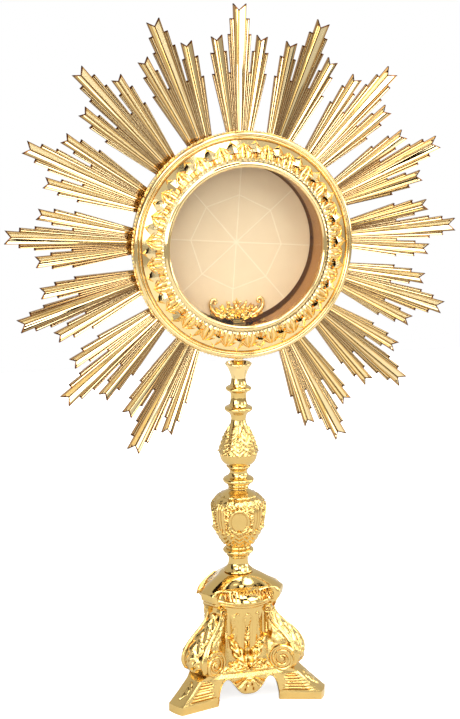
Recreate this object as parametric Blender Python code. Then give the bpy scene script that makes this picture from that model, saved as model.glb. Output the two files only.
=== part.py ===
"""Standing sunburst monstrance in gilt brass, modelled as the pieces it is assembled from.

A hollow tripod foot, a cap and six turned stem pieces are threaded on one tie rod.  The rod
screws into the tenon of a round glazed case that carries fifteen clusters of rays.  The back
door of the case swings on a pin hinge, its knob turns a catch, and the lunette that holds the
host runs in a rail on the floor of the case.  Metres, +Z up, the front faces -Y.
"""

import math

import bmesh
import bpy
import numpy as np
from mathutils import Matrix, Vector

# Overall sizes
GLORY_Z = 0.4475            # height of the centre of the glory
RAY_TIP = 0.2213            # radius of the ray tips
RAY_COUNT = 15
RAY_PITCH = math.radians(21.66)
TOE_REACH = 0.0880          # from the stem axis to the toe of a foot
TOE_HALF = 0.0095           # half the width of a toe
GAP = 0.0003                # air left between pieces that touch

# The tripod has one foot behind and two in front, so the axis stands forward of the box centre.
LEG_ANGLES = [math.radians(angle) for angle in (90, 210, 330)]
FRONT_TOE = TOE_REACH * 0.5 + TOE_HALF * math.cos(math.radians(30))
AXIS_Y = -(TOE_REACH - FRONT_TOE) / 2

# Round case: radii, and distances in front of the glory plane (negative is behind it)
DRUM_IN = 0.0760
DRUM_OUT = 0.0780
DRUM_FRONT = 0.0258
DRUM_BACK = -0.0265
OPENING = 0.0741            # radius of the bezel's lip
BEZEL_OUT = 0.1066
GLASS_FRONT = 0.0282
GLASS_BACK = 0.0262
RAY_THICK = 0.0028
RAY_INNER = 0.0815

# Back door
DOOR_OUT = 0.0805
DOOR_IN = 0.0650
DOOR_REBATE = 0.0676
DOOR_FRONT = -0.0270
DOOR_BACK = -0.0315
HINGE_X = -0.0850
HINGE_Y = AXIS_Y + 0.0290
HINGE_PIN = 0.0012
HINGE_BORE = 0.0015
HINGE_KNUCKLE = 0.0026
KNOB_X = 0.0714

# Lunette and host: heights are from the glory's centre, depths are behind the glory plane
HOST_RADIUS = 0.0742
HOST_LIFT = 0.0008
HOST_DEPTH = (0.0090, 0.0100)
RAIL_FLOOR = -0.0755

# Tie rod
ROD = 0.0030
BORE = 0.0034

ROUND_STEM = 20
ROUND_CASE = 40

GOLD = (0.90, 0.62, 0.20, 1.0)
STEEL = (0.62, 0.62, 0.60, 1.0)
WAFER = (0.90, 0.72, 0.48, 1.0)
CLEAR = (0.92, 0.96, 0.93, 0.35)


def clear_scene():
    for obj in list(bpy.data.objects):
        bpy.data.objects.remove(obj, do_unlink=True)


def material(name, color, roughness, metallic, transmission=0.0):
    found = bpy.data.materials.get(name)
    if found:
        return found
    new = bpy.data.materials.new(name)
    new.use_nodes = True
    shader = new.node_tree.nodes["Principled BSDF"]
    shader.inputs["Base Color"].default_value = color
    shader.inputs["Roughness"].default_value = roughness
    shader.inputs["Metallic"].default_value = metallic
    shader.inputs["Transmission Weight"].default_value = transmission
    return new


def gold():
    return material("gilt_brass", GOLD, 0.16, 1.0)


def steel():
    return material("steel", STEEL, 0.35, 1.0)


def glass():
    return material("clear_glass", CLEAR, 0.03, 0.0, 1.0)


def wafer():
    return material("wafer", WAFER, 0.70, 0.0)


def finish(name, bm, finish_material, smooth=None):
    """Turn a bmesh into the named object, faces outward; smooth is the sharp-edge angle."""
    bmesh.ops.remove_doubles(bm, verts=bm.verts, dist=1e-6)
    bmesh.ops.recalc_face_normals(bm, faces=bm.faces)
    mesh = bpy.data.meshes.new(name)
    bm.to_mesh(mesh)
    bm.free()
    mesh.materials.append(finish_material)
    if smooth is not None:
        mesh.shade_smooth()
        mesh.set_sharp_from_angle(angle=math.radians(smooth))
    obj = bpy.data.objects.new(name, mesh)
    bpy.context.collection.objects.link(obj)
    return obj


def lathe(outline, segments, closed):
    """Spin (radius, height) points about Z; a closed outline makes a ring, an open one ends on the axis."""
    bm = bmesh.new()
    verts = [bm.verts.new((radius, 0, height)) for radius, height in outline]
    edges = [bm.edges.new(pair) for pair in zip(verts, verts[1:])]
    if closed:
        edges.append(bm.edges.new((verts[-1], verts[0])))
    bmesh.ops.spin(bm, geom=verts + edges, cent=(0, 0, 0), axis=(0, 0, 1),
                   angle=2 * math.pi, steps=segments, use_merge=True)
    bmesh.ops.remove_doubles(bm, verts=bm.verts, dist=1e-6)
    return bm


def stem_piece(name, outline):
    """A turned stem piece: (height, radius) points up its outside, and the rod's bore through it."""
    points = [(radius, height) for height, radius in outline]
    points += [(BORE, outline[-1][0]), (BORE, outline[0][0])]
    obj = finish(name, lathe(points, ROUND_STEM, True), gold(), 35)
    obj.location.y = AXIS_Y


def face_front(obj, x=0.0, z=GLORY_Z):
    """Stand a piece that was turned about Z in the glory plane, its +Z side to the front."""
    obj.rotation_euler.x = math.radians(90)
    obj.location = (x, AXIS_Y, z)
    return obj


def case_ring(name, outline):
    """A ring of the case from (radius, distance to the front) points."""
    return face_front(finish(name, lathe(outline, ROUND_CASE, True), gold(), 35))


def case_disc(name, radius, back, front, finish_material, lift=0.0):
    points = [(0, back), (radius, back), (radius, front), (0, front)]
    obj = finish(name, lathe(points, ROUND_CASE, False), finish_material, 35)
    return face_front(obj, z=GLORY_Z + lift)


def plate(name, outline, back, front, finish_material, lift=0.0):
    """An upright plate from (across, up) points, standing in the glory plane."""
    bm = bmesh.new()
    face = bm.faces.new([bm.verts.new((across, up, back)) for across, up in outline])
    extruded = bmesh.ops.extrude_face_region(bm, geom=[face])
    moved = [item for item in extruded["geom"] if isinstance(item, bmesh.types.BMVert)]
    bmesh.ops.translate(bm, verts=moved, vec=(0, 0, front - back))
    return face_front(finish(name, bm, finish_material), z=GLORY_Z + lift)


def box(name, low, high, finish_material):
    """A rectangular block between two corners given in world coordinates."""
    bm = bmesh.new()
    centre = (Vector(low) + Vector(high)) / 2
    size = Vector(high) - Vector(low)
    bmesh.ops.create_cube(bm, size=1.0, matrix=Matrix.Diagonal((*size, 1.0)))
    obj = finish(name, bm, finish_material)
    obj.location = centre
    return obj


def cylinder_between(name, radius, start, length, axis, segments, finish_material):
    """A plain round bar that starts at a point and runs along Z or Y."""
    bm = bmesh.new()
    bmesh.ops.create_cone(bm, cap_ends=True, segments=segments, radius1=radius, radius2=radius,
                          depth=length, matrix=Matrix.Translation((0, 0, length / 2)))
    if axis == "Y":
        bmesh.ops.rotate(bm, verts=bm.verts, cent=(0, 0, 0), matrix=Matrix.Rotation(math.radians(-90), 3, "X"))
    obj = finish(name, bm, finish_material, 35)
    obj.location = start
    return obj


def combine(obj, other, operation):
    """Cut or join another object into obj, and drop that other object."""
    modifier = obj.modifiers.new(operation.lower(), "BOOLEAN")
    modifier.operation = operation
    modifier.object = other
    bpy.context.view_layer.update()
    evaluated = obj.evaluated_get(bpy.context.evaluated_depsgraph_get())
    result = bpy.data.meshes.new_from_object(evaluated)
    obj.modifiers.clear()
    obj.data = result
    bpy.data.objects.remove(other, do_unlink=True)
    return obj


# ---------------------------------------------------------------- three-sided castings

def leg_to_panel(along, across):
    """Leg coordinates (out along the leg, across it) to the panel's (lateral, depth)."""
    lateral = along * math.sin(math.radians(60)) - across * 0.5
    depth = along * 0.5 + across * math.sin(math.radians(60))
    return lateral, depth


def panel_to_leg(lateral, depth):
    along = depth * 0.5 + lateral * math.sin(math.radians(60))
    across = depth * math.sin(math.radians(60)) - lateral * 0.5
    return along, across


def half_section(values, panel_steps):
    """Half a leg of a three-fold outline, from the middle of the leg to the middle of the panel."""
    reach, strap, corner_along, corner_across, panel = values
    points = [(reach, 0.0), (reach, strap)]
    points.append(((reach + corner_along) / 2, (strap + corner_across) / 2))
    lateral, depth = leg_to_panel(corner_along, corner_across)
    for fraction in panel_steps:
        bow = panel - (panel - depth) * fraction ** 2
        points.append(panel_to_leg(lateral * fraction, bow))
    return points


def three_fold(half):
    """Mirror half a leg and turn it to the three legs: one closed loop of (x, y)."""
    leg = [(along, -across) for along, across in reversed(half[1:])] + half[:-1]
    loop = []
    for angle in LEG_ANGLES:
        out = (math.cos(angle), math.sin(angle))
        for along, across in leg:
            loop.append((along * out[0] - across * out[1], along * out[1] + across * out[0]))
    return loop


def circle_loop(radius, like):
    """A round loop whose points lie in the same directions as those of another loop."""
    return [(radius * x / math.hypot(x, y), radius * y / math.hypot(x, y)) for x, y in like]


def ring_of_loops(name, loops):
    """Join closed loops into a skin, and the last loop back to the first."""
    bm = bmesh.new()
    rows = [[bm.verts.new(point) for point in loop] for loop in loops]
    for lower, upper in zip(rows, rows[1:] + rows[:1]):
        for index in range(len(lower)):
            after = (index + 1) % len(lower)
            bm.faces.new((lower[index], lower[after], upper[after], upper[index]))
    obj = finish(name, bm, gold(), 40)
    obj.location.y = AXIS_Y
    return obj


# Height, leg reach, half strap width, inner corner of the leg (along, across), panel distance
BASE_SECTIONS = np.array([
    (0.0000, TOE_REACH, TOE_HALF, 0.0470, 0.0192, 0.0400),
    (0.0080, TOE_REACH, TOE_HALF, 0.0470, 0.0192, 0.0400),
    (0.0175, 0.0765, 0.0090, 0.0465, 0.0182, 0.0395),
    (0.0270, 0.0640, 0.0088, 0.0460, 0.0173, 0.0385),
    (0.0308, 0.0575, 0.0120, 0.0420, 0.0170, 0.0360),
    (0.0388, 0.0638, 0.0160, 0.0350, 0.0170, 0.0325),
    (0.0465, 0.0650, 0.0160, 0.0330, 0.0165, 0.0315),
    (0.0550, 0.0622, 0.0150, 0.0320, 0.0150, 0.0310),
    (0.0647, 0.0542, 0.0130, 0.0310, 0.0130, 0.0313),
    (0.0730, 0.0429, 0.0110, 0.0303, 0.0115, 0.0325),
    (0.0816, 0.0350, 0.0102, 0.0300, 0.0103, 0.0333),
    (0.0942, 0.0330, 0.0095, 0.0305, 0.0100, 0.0345),
])
BASE_TOP = BASE_SECTIONS[-1, 0]
BASE_PLATE = 0.0030
BASE_WALL = np.array([0.0032, 0.0028, 0.0015, 0.0028, 0.0028])
FOOT_CORNER_X = 0.0311      # where the arch springs from a foot, from the middle of the panel
ARCH_PEAK_X = 0.0213
ARCH_PEAK = 0.0255
PENDANT_LOW = 0.0095
PENDANT_ROUND = 1.6         # 1 is a plain wave, more makes the pendant wider and rounder
ARCH_ZONE = BASE_SECTIONS[4, 0]     # the rows below this height follow the arches
STRAP_POINTS = 3            # points of a half section that come before its panel
PANEL_STEPS = (1.0, 0.965, 0.87, 0.685, 0.48, 0.32, 0.16, 0.0)
ROD_HOLE = BORE + 0.0006


def arch_height(lateral):
    """Lower edge of a panel: a shell-shaped pendant between two arches that spring from the feet."""
    if lateral >= FOOT_CORNER_X - 1e-6:
        return 0.0
    if lateral > ARCH_PEAK_X:
        across = (lateral - ARCH_PEAK_X) / (FOOT_CORNER_X - ARCH_PEAK_X)
        return ARCH_PEAK * math.sqrt(1 - across ** 2)
    rise = (1 - math.cos(math.pi * (lateral / ARCH_PEAK_X) ** PENDANT_ROUND)) / 2
    return PENDANT_LOW + (ARCH_PEAK - PENDANT_LOW) * rise


def section_at(height, inset):
    values = [np.interp(height, BASE_SECTIONS[:, 0], BASE_SECTIONS[:, column]) for column in range(1, 6)]
    return np.array(values) - inset


def base_loop(level, inset):
    """One loop of the base skin; where a panel ends in an arch, its lower rows crowd up above it."""
    half = []
    heights = []
    for index in range(STRAP_POINTS + len(PANEL_STEPS)):
        step = index - STRAP_POINTS
        low = arch_height(FOOT_CORNER_X * PANEL_STEPS[step]) if step > 0 else 0.0
        height = level if level >= ARCH_ZONE else low + level / ARCH_ZONE * (ARCH_ZONE - low)
        half.append(half_section(section_at(height, inset), PANEL_STEPS)[index])
        heights.append(height)
    loop = three_fold(half)
    column = three_fold([(value, 0.0) for value in heights])
    return [(x, y, math.hypot(*mark)) for (x, y), mark in zip(loop, column)]


def base_casting():
    levels = BASE_SECTIONS[:, 0]
    outer = [base_loop(level, 0 * BASE_WALL) for level in levels]
    plate_under = BASE_TOP - BASE_PLATE
    inner_levels = levels[:-1]
    inner = [base_loop(level, BASE_WALL) for level in inner_levels]
    ceiling = base_loop(plate_under, BASE_WALL)
    flat = [(x, y) for x, y, _ in outer[-1]]
    hole = circle_loop(ROD_HOLE, flat)
    hole_top = [(x, y, BASE_TOP) for x, y in hole]
    hole_under = [(x, y, plate_under) for x, y in hole]
    loops = outer + [hole_top, hole_under, ceiling] + inner[::-1]
    return ring_of_loops("base_casting", loops)


CAP_BOTTOM = BASE_TOP + GAP
CAP_OUTSIDE = [
    (CAP_BOTTOM, 0.0362, 0.0085, 0.0320, 0.0095, 0.0360),
    (0.0970, 0.0400, 0.0085, 0.0345, 0.0095, 0.0380),
    (0.0995, 0.0408, 0.0085, 0.0352, 0.0095, 0.0386),
    (0.1015, 0.0425, 0.0085, 0.0378, 0.0093, 0.0410),
    (0.1035, 0.0434, 0.0085, 0.0380, 0.0093, 0.0412),
    (0.1075, 0.0438, 0.0085, 0.0360, 0.0095, 0.0380),
    (0.1112, 0.0428, 0.0084, 0.0318, 0.0093, 0.0325),
    (0.1130, 0.0404, 0.0082, 0.0284, 0.0090, 0.0282),
    (0.1155, 0.0356, 0.0078, 0.0244, 0.0085, 0.0246),
    (0.1190, 0.0290, 0.0072, 0.0202, 0.0080, 0.0212),
    (0.1230, 0.0184, 0.0065, 0.0152, 0.0073, 0.0172),
]
CAP_INSIDE = [
    (0.1200, 0.0100, 0.0040, 0.0098, 0.0050, 0.0120),
    (0.1165, 0.0165, 0.0052, 0.0155, 0.0062, 0.0178),
    (0.1115, 0.0255, 0.0062, 0.0235, 0.0072, 0.0258),
    (0.1065, 0.0300, 0.0065, 0.0285, 0.0075, 0.0315),
    (CAP_BOTTOM, 0.0300, 0.0065, 0.0285, 0.0075, 0.0325),
]
CAP_TOP = 0.1232
CAP_STEPS = (1.0, 0.8, 0.55, 0.28, 0.0)


def base_cap():
    """The bow-fronted cap over the tripod, a hollow casting with the rod's bore in its roof."""
    def loop(row):
        return [(x, y, row[0]) for x, y in three_fold(half_section(row[1:], CAP_STEPS))]

    outer = [loop(row) for row in CAP_OUTSIDE]
    inner = [loop(row) for row in CAP_INSIDE]
    bore = circle_loop(BORE, [(x, y) for x, y, _ in outer[0]])
    top = [(x, y, CAP_TOP) for x, y in bore]
    under = [(x, y, CAP_INSIDE[0][0]) for x, y in bore]
    return ring_of_loops("base_cap", outer + [top, under] + inner)


# ---------------------------------------------------------------- stem

def stem():
    """The turned pieces that stack on the cap, each a hair above the one below it."""
    stem_piece("stem_foot", [
        (CAP_TOP + GAP, 0.0142), (0.1257, 0.0138), (0.1295, 0.0108), (0.1345, 0.0097),
        (0.1385, 0.0102), (0.1405, 0.0112)])
    stem_piece("lower_ring", [
        (0.1408, 0.0112), (0.1422, 0.0140), (0.1449, 0.0149), (0.1474, 0.0140), (0.1500, 0.0119)])
    stem_piece("lower_knop", [
        (0.1503, 0.0121), (0.1541, 0.0154), (0.1629, 0.0204), (0.1747, 0.0249), (0.1850, 0.0266),
        (0.1935, 0.0256), (0.1985, 0.0228), (0.2030, 0.0165), (0.2072, 0.0089)])
    stem_piece("middle_collar", [
        (0.2075, 0.0087), (0.2100, 0.0092), (0.2135, 0.0120), (0.2168, 0.0149), (0.2195, 0.0130),
        (0.2225, 0.0095), (0.2248, 0.0086), (0.2290, 0.0108)])
    stem_piece("upper_knop", [
        (0.2293, 0.0112), (0.2325, 0.0118), (0.2345, 0.0155), (0.2390, 0.0176), (0.2438, 0.0184),
        (0.2490, 0.0170), (0.2592, 0.0139), (0.2681, 0.0100), (0.2768, 0.0072)])
    stem_piece("upper_spindle", [
        (0.2771, 0.0072), (0.2830, 0.0088), (0.2857, 0.0120), (0.2881, 0.0135), (0.2905, 0.0118),
        (0.2940, 0.0083), (0.3010, 0.0076), (0.3050, 0.0092), (0.3079, 0.0124), (0.3105, 0.0102),
        (0.3135, 0.0076), (0.3177, 0.0069)])
    socket_cup()


CUP_FLOOR = 0.3240
CUP_RIM = 0.3332


def socket_cup():
    """The open cup at the head of the stem; the tenon of the case stands on its floor."""
    points = [(BORE, 0.3180), (0.0069, 0.3180), (0.0080, 0.3215), (0.0104, 0.3275), (0.0124, 0.3308),
              (0.0127, CUP_RIM), (0.0113, CUP_RIM), (0.0092, CUP_FLOOR + 0.0015), (0.0080, CUP_FLOOR),
              (BORE, CUP_FLOOR)]
    obj = finish("socket_cup", lathe(points, ROUND_STEM, True), gold(), 35)
    obj.location.y = AXIS_Y
    return obj


WASHER_TOP = BASE_TOP - BASE_PLATE - GAP
WASHER_THICK = 0.0020
WASHER_OUT = 0.0110
NUT_HEIGHT = 0.0060
NUT_CORNER = 0.0064
ROD_BELOW_NUT = 0.0040
NUT_TOP = WASHER_TOP - WASHER_THICK - GAP
TENON_BOTTOM = CUP_FLOOR + GAP
TENON = 0.0046
SADDLE = 0.0095             # radius of the tenon's head
NECK_TOP = 0.3560
SADDLE_BOTTOM = 0.3620
ROD_TOP = 0.3450


def tie_rod_and_nut():
    """The rod that clamps the stack: washer and hexagon nut inside the foot, tenon at the top."""
    rod_bottom = NUT_TOP - NUT_HEIGHT - ROD_BELOW_NUT
    cylinder_between("tie_rod", ROD, (0, AXIS_Y, rod_bottom), ROD_TOP - rod_bottom, "Z", 12, steel())
    washer = lathe([(BORE, WASHER_TOP - WASHER_THICK), (WASHER_OUT, WASHER_TOP - WASHER_THICK),
                    (WASHER_OUT, WASHER_TOP), (BORE, WASHER_TOP)], ROUND_STEM, True)
    finish("base_washer", washer, steel(), 35).location.y = AXIS_Y
    thread = BORE / math.cos(math.radians(30))
    nut = lathe([(thread, NUT_TOP - NUT_HEIGHT), (NUT_CORNER, NUT_TOP - NUT_HEIGHT),
                 (NUT_CORNER, NUT_TOP), (thread, NUT_TOP)], 6, True)
    finish("base_nut", nut, steel()).location.y = AXIS_Y


def case_tenon():
    """The post under the case: a saddle cut to the drum, and a blind hole for the tie rod."""
    blind_hole = ROD_TOP + 0.0020
    above_drum_wall = GLORY_Z - 0.0700
    points = [(0, blind_hole), (BORE, blind_hole), (BORE, TENON_BOTTOM), (TENON, TENON_BOTTOM),
              (TENON, NECK_TOP), (SADDLE, SADDLE_BOTTOM), (SADDLE, above_drum_wall), (0, above_drum_wall)]
    obj = finish("case_tenon", lathe(points, ROUND_STEM, False), gold(), 35)
    obj.location.y = AXIS_Y
    drum = cylinder_between("saddle_cutter", DRUM_OUT + GAP, (0, AXIS_Y - 0.03, GLORY_Z), 0.06, "Y",
                            2 * ROUND_CASE, gold())
    return combine(obj, drum, "DIFFERENCE")


# ---------------------------------------------------------------- case and glory

SLOPE_INNER = (0.0800, 0.0300)     # the sloping face under the leaves, (radius, distance to the front)
SLOPE_OUTER = (0.0985, 0.0232)
BEZEL_BACK = 0.0140
COLLAR_BACK = 0.0120
COLLAR_OUT = 0.0803
GLASS_OUT = 0.0774
RING_THICK = 0.0030
RING_OUT = 0.1035
SLOT_CLEAR = 0.0010
LEAF_THICK = 0.0014
LEAF_MARGIN = 0.0008


def case():
    case_ring("case_drum", [(DRUM_IN, DRUM_BACK), (DRUM_OUT, DRUM_BACK), (DRUM_OUT, DRUM_FRONT),
                            (DRUM_IN, DRUM_FRONT)])
    collar = DRUM_OUT + GAP
    case_ring("front_bezel", [
        (collar, COLLAR_BACK), (collar, GLASS_FRONT + GAP), (OPENING, GLASS_FRONT + GAP),
        (OPENING - 0.0002, 0.0300), (0.0748, 0.0313), (0.0768, 0.0315), (0.0790, 0.0303),
        SLOPE_INNER, SLOPE_OUTER, (0.0995, 0.0224), (0.1003, 0.0240), (0.1022, 0.0243),
        (0.1048, 0.0234), (BEZEL_OUT, 0.0212), (BEZEL_OUT, BEZEL_BACK), (0.1046, BEZEL_BACK),
        (0.1040, 0.0205), (0.0975, 0.0208), (0.0806, 0.0268), (COLLAR_OUT, COLLAR_BACK)])
    case_disc("front_glass", GLASS_OUT, GLASS_BACK, GLASS_FRONT, glass())
    leaf_border()
    carrier = case_ring("glory_ring", [(collar, -RING_THICK), (RING_OUT, -RING_THICK), (RING_OUT, -GAP),
                                       (collar, -GAP)])
    slot_half = SADDLE + SLOT_CLEAR
    slot = box("tenon_slot_cutter", (-slot_half, AXIS_Y - 0.01, GLORY_Z - 0.12),
               (slot_half, AXIS_Y + 0.01, GLORY_Z - 0.07), gold())
    combine(carrier, slot, "DIFFERENCE")


def leaf_border():
    """The pressed band of leaves that lies on the bezel's sloping face."""
    inner = Vector(SLOPE_INNER)
    outer = Vector(SLOPE_OUTER)
    along = (outer - inner).normalized()
    normal = Vector((-along.y, along.x))
    start = inner + along * LEAF_MARGIN
    end = outer - along * LEAF_MARGIN
    near = normal * GAP
    far = normal * (GAP + LEAF_THICK)
    corners = [start + near, end + near, end + far, start + far]
    case_ring("leaf_border", [tuple(point) for point in corners])


# One half of a ray cluster: (slope of the edge from the rays' common point, distance from the centre)
RAY_APEX = 0.0540
CLUSTER_EDGE = [
    (0.0371, RAY_TIP), (0.0371, 0.2080), (0.0604, 0.2080), (0.0604, 0.1939), (0.0786, 0.1939),
    (0.0786, 0.1595), (0.1000, 0.1595), (0.1000, 0.1788), (0.1207, 0.1788), (0.1207, 0.1933),
    (0.1586, 0.1885), (0.1965, 0.1916), (0.1965, 0.1770), (0.2244, 0.1770), (0.2244, 0.1580),
    (0.2500, 0.1580), (0.2500, RAY_INNER)]
NOTCH = 0.2158


def ray_clusters():
    """Fifteen alike clusters of stepped rays, fanned evenly with a gap at the stem."""
    half = [(slope * (distance - RAY_APEX), distance) for slope, distance in CLUSTER_EDGE]
    outline = [(0.0, NOTCH)] + half + [(-across, up) for across, up in reversed(half)]
    first = plate("ray_cluster_01", outline, 0.0, RAY_THICK, gold())
    middle = (RAY_COUNT - 1) / 2
    for number in range(RAY_COUNT):
        cluster = first
        if number:
            cluster = bpy.data.objects.new(f"ray_cluster_{number + 1:02d}", first.data)
            bpy.context.collection.objects.link(cluster)
            cluster.location = first.location
        turn = (number - middle) * RAY_PITCH
        cluster.rotation_euler = (math.radians(90), turn, 0)


# ---------------------------------------------------------------- back door

DOOR_GLASS = (-0.0300, -0.0288)
DOOR_RING_SEAT = -0.0285    # front face of the rebate that the door's glass lies in
CLAMP = (-0.0313, -0.0303)
CLAMP_IN = DOOR_IN + 0.0004
KNOB_HOLE = 0.0018


def back_door():
    ring = case_ring("door_ring", [
        (DOOR_IN, DOOR_FRONT), (DOOR_OUT, DOOR_FRONT), (DOOR_OUT, DOOR_BACK), (DOOR_REBATE, DOOR_BACK),
        (DOOR_REBATE, DOOR_RING_SEAT), (DOOR_IN, DOOR_RING_SEAT)])
    hole = cylinder_between("knob_hole_cutter", KNOB_HOLE, (KNOB_X, AXIS_Y + 0.02, GLORY_Z), 0.02, "Y", 16,
                            gold())
    combine(ring, hole, "DIFFERENCE")
    in_rebate = DOOR_REBATE - GAP
    case_disc("door_glass", in_rebate, *DOOR_GLASS, glass())
    case_ring("door_glass_ring", [(CLAMP_IN, CLAMP[1]), (in_rebate, CLAMP[1]), (in_rebate, CLAMP[0]),
                                  (CLAMP_IN, CLAMP[0])])
    door_hinge()
    door_latch()


HINGE_REACH = 0.0120        # half the length of the case leaf
HINGE_MIDDLE = 0.0040       # half the length of the door's knuckle
HINGE_LEAF = 0.0026
HINGE_LEAF_Y = (AXIS_Y + 0.0100, AXIS_Y + 0.0262)
ARM_Y = (HINGE_Y - 0.0044, HINGE_Y - 0.0028)
WEB_Y = (HINGE_Y - 0.0036, HINGE_Y - 0.0019)
WEB_HALF = 0.0006
DOOR_LEAF_Y = (HINGE_Y - 0.0016, HINGE_Y + 0.0020)
PIN_REACH = 0.0130          # half the length of the pin


def knuckle(name, low, high):
    """A hinge knuckle around the pin, between two heights from the glory's centre."""
    points = [(HINGE_BORE, low), (HINGE_KNUCKLE, low), (HINGE_KNUCKLE, high), (HINGE_BORE, high)]
    obj = finish(name, lathe(points, 16, True), gold(), 35)
    obj.location = (HINGE_X, HINGE_Y, GLORY_Z)
    return obj


def door_hinge():
    """A pin hinge at the side: two knuckles on the case, one between them on the door."""
    leaf_near = -(DRUM_OUT + 2 * GAP)
    leaf_far = leaf_near - HINGE_LEAF
    leaf = box("hinge_leaf_case", (leaf_far, HINGE_LEAF_Y[0], GLORY_Z - HINGE_REACH),
               (leaf_near, HINGE_LEAF_Y[1], GLORY_Z + HINGE_REACH), gold())
    for side in (1, -1):
        low, high = sorted((side * (HINGE_MIDDLE + GAP), side * HINGE_REACH))
        arm = box("hinge_arm", (HINGE_X - 0.0004, ARM_Y[0], GLORY_Z + low),
                  (leaf_far + WEB_HALF, ARM_Y[1], GLORY_Z + high), gold())
        web = box("hinge_web", (HINGE_X - WEB_HALF, WEB_Y[0], GLORY_Z + low),
                  (HINGE_X + WEB_HALF, WEB_Y[1], GLORY_Z + high), gold())
        combine(arm, web, "UNION")
        combine(arm, knuckle("hinge_barrel", low, high), "UNION")
        combine(leaf, arm, "UNION")
    door_leaf = box("hinge_leaf_door", (HINGE_X + 0.0020, DOOR_LEAF_Y[0], GLORY_Z - HINGE_MIDDLE),
                    (-(DOOR_OUT + GAP), DOOR_LEAF_Y[1], GLORY_Z + HINGE_MIDDLE), gold())
    combine(door_leaf, knuckle("door_barrel", -HINGE_MIDDLE, HINGE_MIDDLE), "UNION")
    cylinder_between("hinge_pin", HINGE_PIN, (HINGE_X, HINGE_Y, GLORY_Z - PIN_REACH), 2 * PIN_REACH, "Z", 12,
                     steel())
    set_origin(door_leaf, (HINGE_X, HINGE_Y, GLORY_Z))


def set_origin(obj, point):
    """Move an object's origin to a world point and leave its shape where it is."""
    bpy.context.view_layer.update()
    mesh_in_world = obj.matrix_world.copy()
    target = Matrix.Translation(point)
    obj.data.transform(target.inverted() @ mesh_in_world)
    obj.matrix_world = target


KNOB_SHANK = 0.0014
CATCH_BORE = KNOB_SHANK + GAP
CATCH_OUT = 0.0026
CATCH_DEPTH = (-0.0262, -0.0242)
FINGER_HALF = 0.0012


def door_latch():
    """The knob turns a small catch that bears on the inside of the drum."""
    outline = [(0, 0.0236), (KNOB_SHANK, 0.0236), (KNOB_SHANK, 0.0320), (0.0030, 0.0322), (0.0024, 0.0345),
               (0.0020, 0.0365), (0.0036, 0.0382), (0.0048, 0.0415), (0.0036, 0.0448), (0, 0.0462)]
    obj = finish("door_knob", lathe([(radius, -depth) for radius, depth in outline], 16, False), gold(), 35)
    face_front(obj, x=KNOB_X)
    back, front = CATCH_DEPTH
    catch = lathe([(CATCH_BORE, back), (CATCH_OUT, back), (CATCH_OUT, front), (CATCH_BORE, front)], 16, True)
    catch_obj = face_front(finish("door_catch", catch, gold(), 35), x=KNOB_X)
    finger = box("catch_finger", (KNOB_X + 0.0021, AXIS_Y + 0.0244, GLORY_Z - FINGER_HALF),
                 (DRUM_IN - GAP, AXIS_Y + 0.0260, GLORY_Z + FINGER_HALF), gold())
    combine(catch_obj, finger, "UNION")


# ---------------------------------------------------------------- lunette

FRONT_CRESCENT = (-0.0087, -0.0050)
BACK_CRESCENT = (-0.0120, -0.0103)
CRESCENT_BAND = 0.0065      # width of the rear crescent
RUNNER_HALF = 0.0046
RUNNER_Y = (AXIS_Y + 0.0050, AXIS_Y + 0.0130)
RUNNER_THICK = 0.0008
RAIL_HALF = 0.0060
RAIL_GROOVE = 0.0050        # half the width of the groove
RAIL_DEPTH = (-0.0255, 0.0020)
RAIL_BED = RAIL_FLOOR + 0.0006
RAIL_LIP = RAIL_FLOOR + 0.0017


def arc(radius, start, end, steps):
    """Points on an arc about the host's centre; angles in degrees from straight down."""
    angles = np.radians(np.linspace(start, end, steps))
    return [(radius * math.sin(angle), -radius * math.cos(angle)) for angle in angles]


def lunette():
    """Two crescents clip the host between them; their runner slides in a rail on the floor."""
    case_disc("host", HOST_RADIUS, -HOST_DEPTH[1], -HOST_DEPTH[0], wafer(), HOST_LIFT)
    rim = HOST_RADIUS + 0.0001
    horns = [(0.0280, -0.0600), (0.0275, -0.0520), (0.0235, -0.0500), (0.0215, -0.0580),
             (0.0140, -0.0590), (0.0090, -0.0530)]
    front = arc(rim, -21, 21, 9) + horns + [(0.0, -0.0515)] + [(-x, up) for x, up in reversed(horns)]
    plate("lunette_front", front, *FRONT_CRESCENT, gold(), HOST_LIFT)
    back = arc(rim, -26, 26, 11) + arc(rim - CRESCENT_BAND, 24, -24, 9)
    plate("lunette_back", back, *BACK_CRESCENT, gold(), HOST_LIFT)
    runner_bottom = GLORY_Z + RAIL_BED + GAP
    box("lunette_runner", (-RUNNER_HALF, RUNNER_Y[0], runner_bottom),
        (RUNNER_HALF, RUNNER_Y[1], runner_bottom + RUNNER_THICK), gold())
    channel = [(-RAIL_HALF, RAIL_FLOOR), (RAIL_HALF, RAIL_FLOOR), (RAIL_HALF, RAIL_LIP),
               (RAIL_GROOVE, RAIL_LIP), (RAIL_GROOVE, RAIL_BED), (-RAIL_GROOVE, RAIL_BED),
               (-RAIL_GROOVE, RAIL_LIP), (-RAIL_HALF, RAIL_LIP)]
    plate("lunette_rail", channel, *RAIL_DEPTH, gold())


def hang_on(parent_name, point, child_names):
    """Parent moving pieces to an empty that stands on their joint's axis."""
    empty = bpy.data.objects.new(parent_name, None)
    empty.location = point
    bpy.context.collection.objects.link(empty)
    bpy.context.view_layer.update()
    for name in child_names:
        child = bpy.data.objects[name]
        world = child.matrix_world.copy()
        child.parent = empty
        child.matrix_world = world
    return empty


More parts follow.
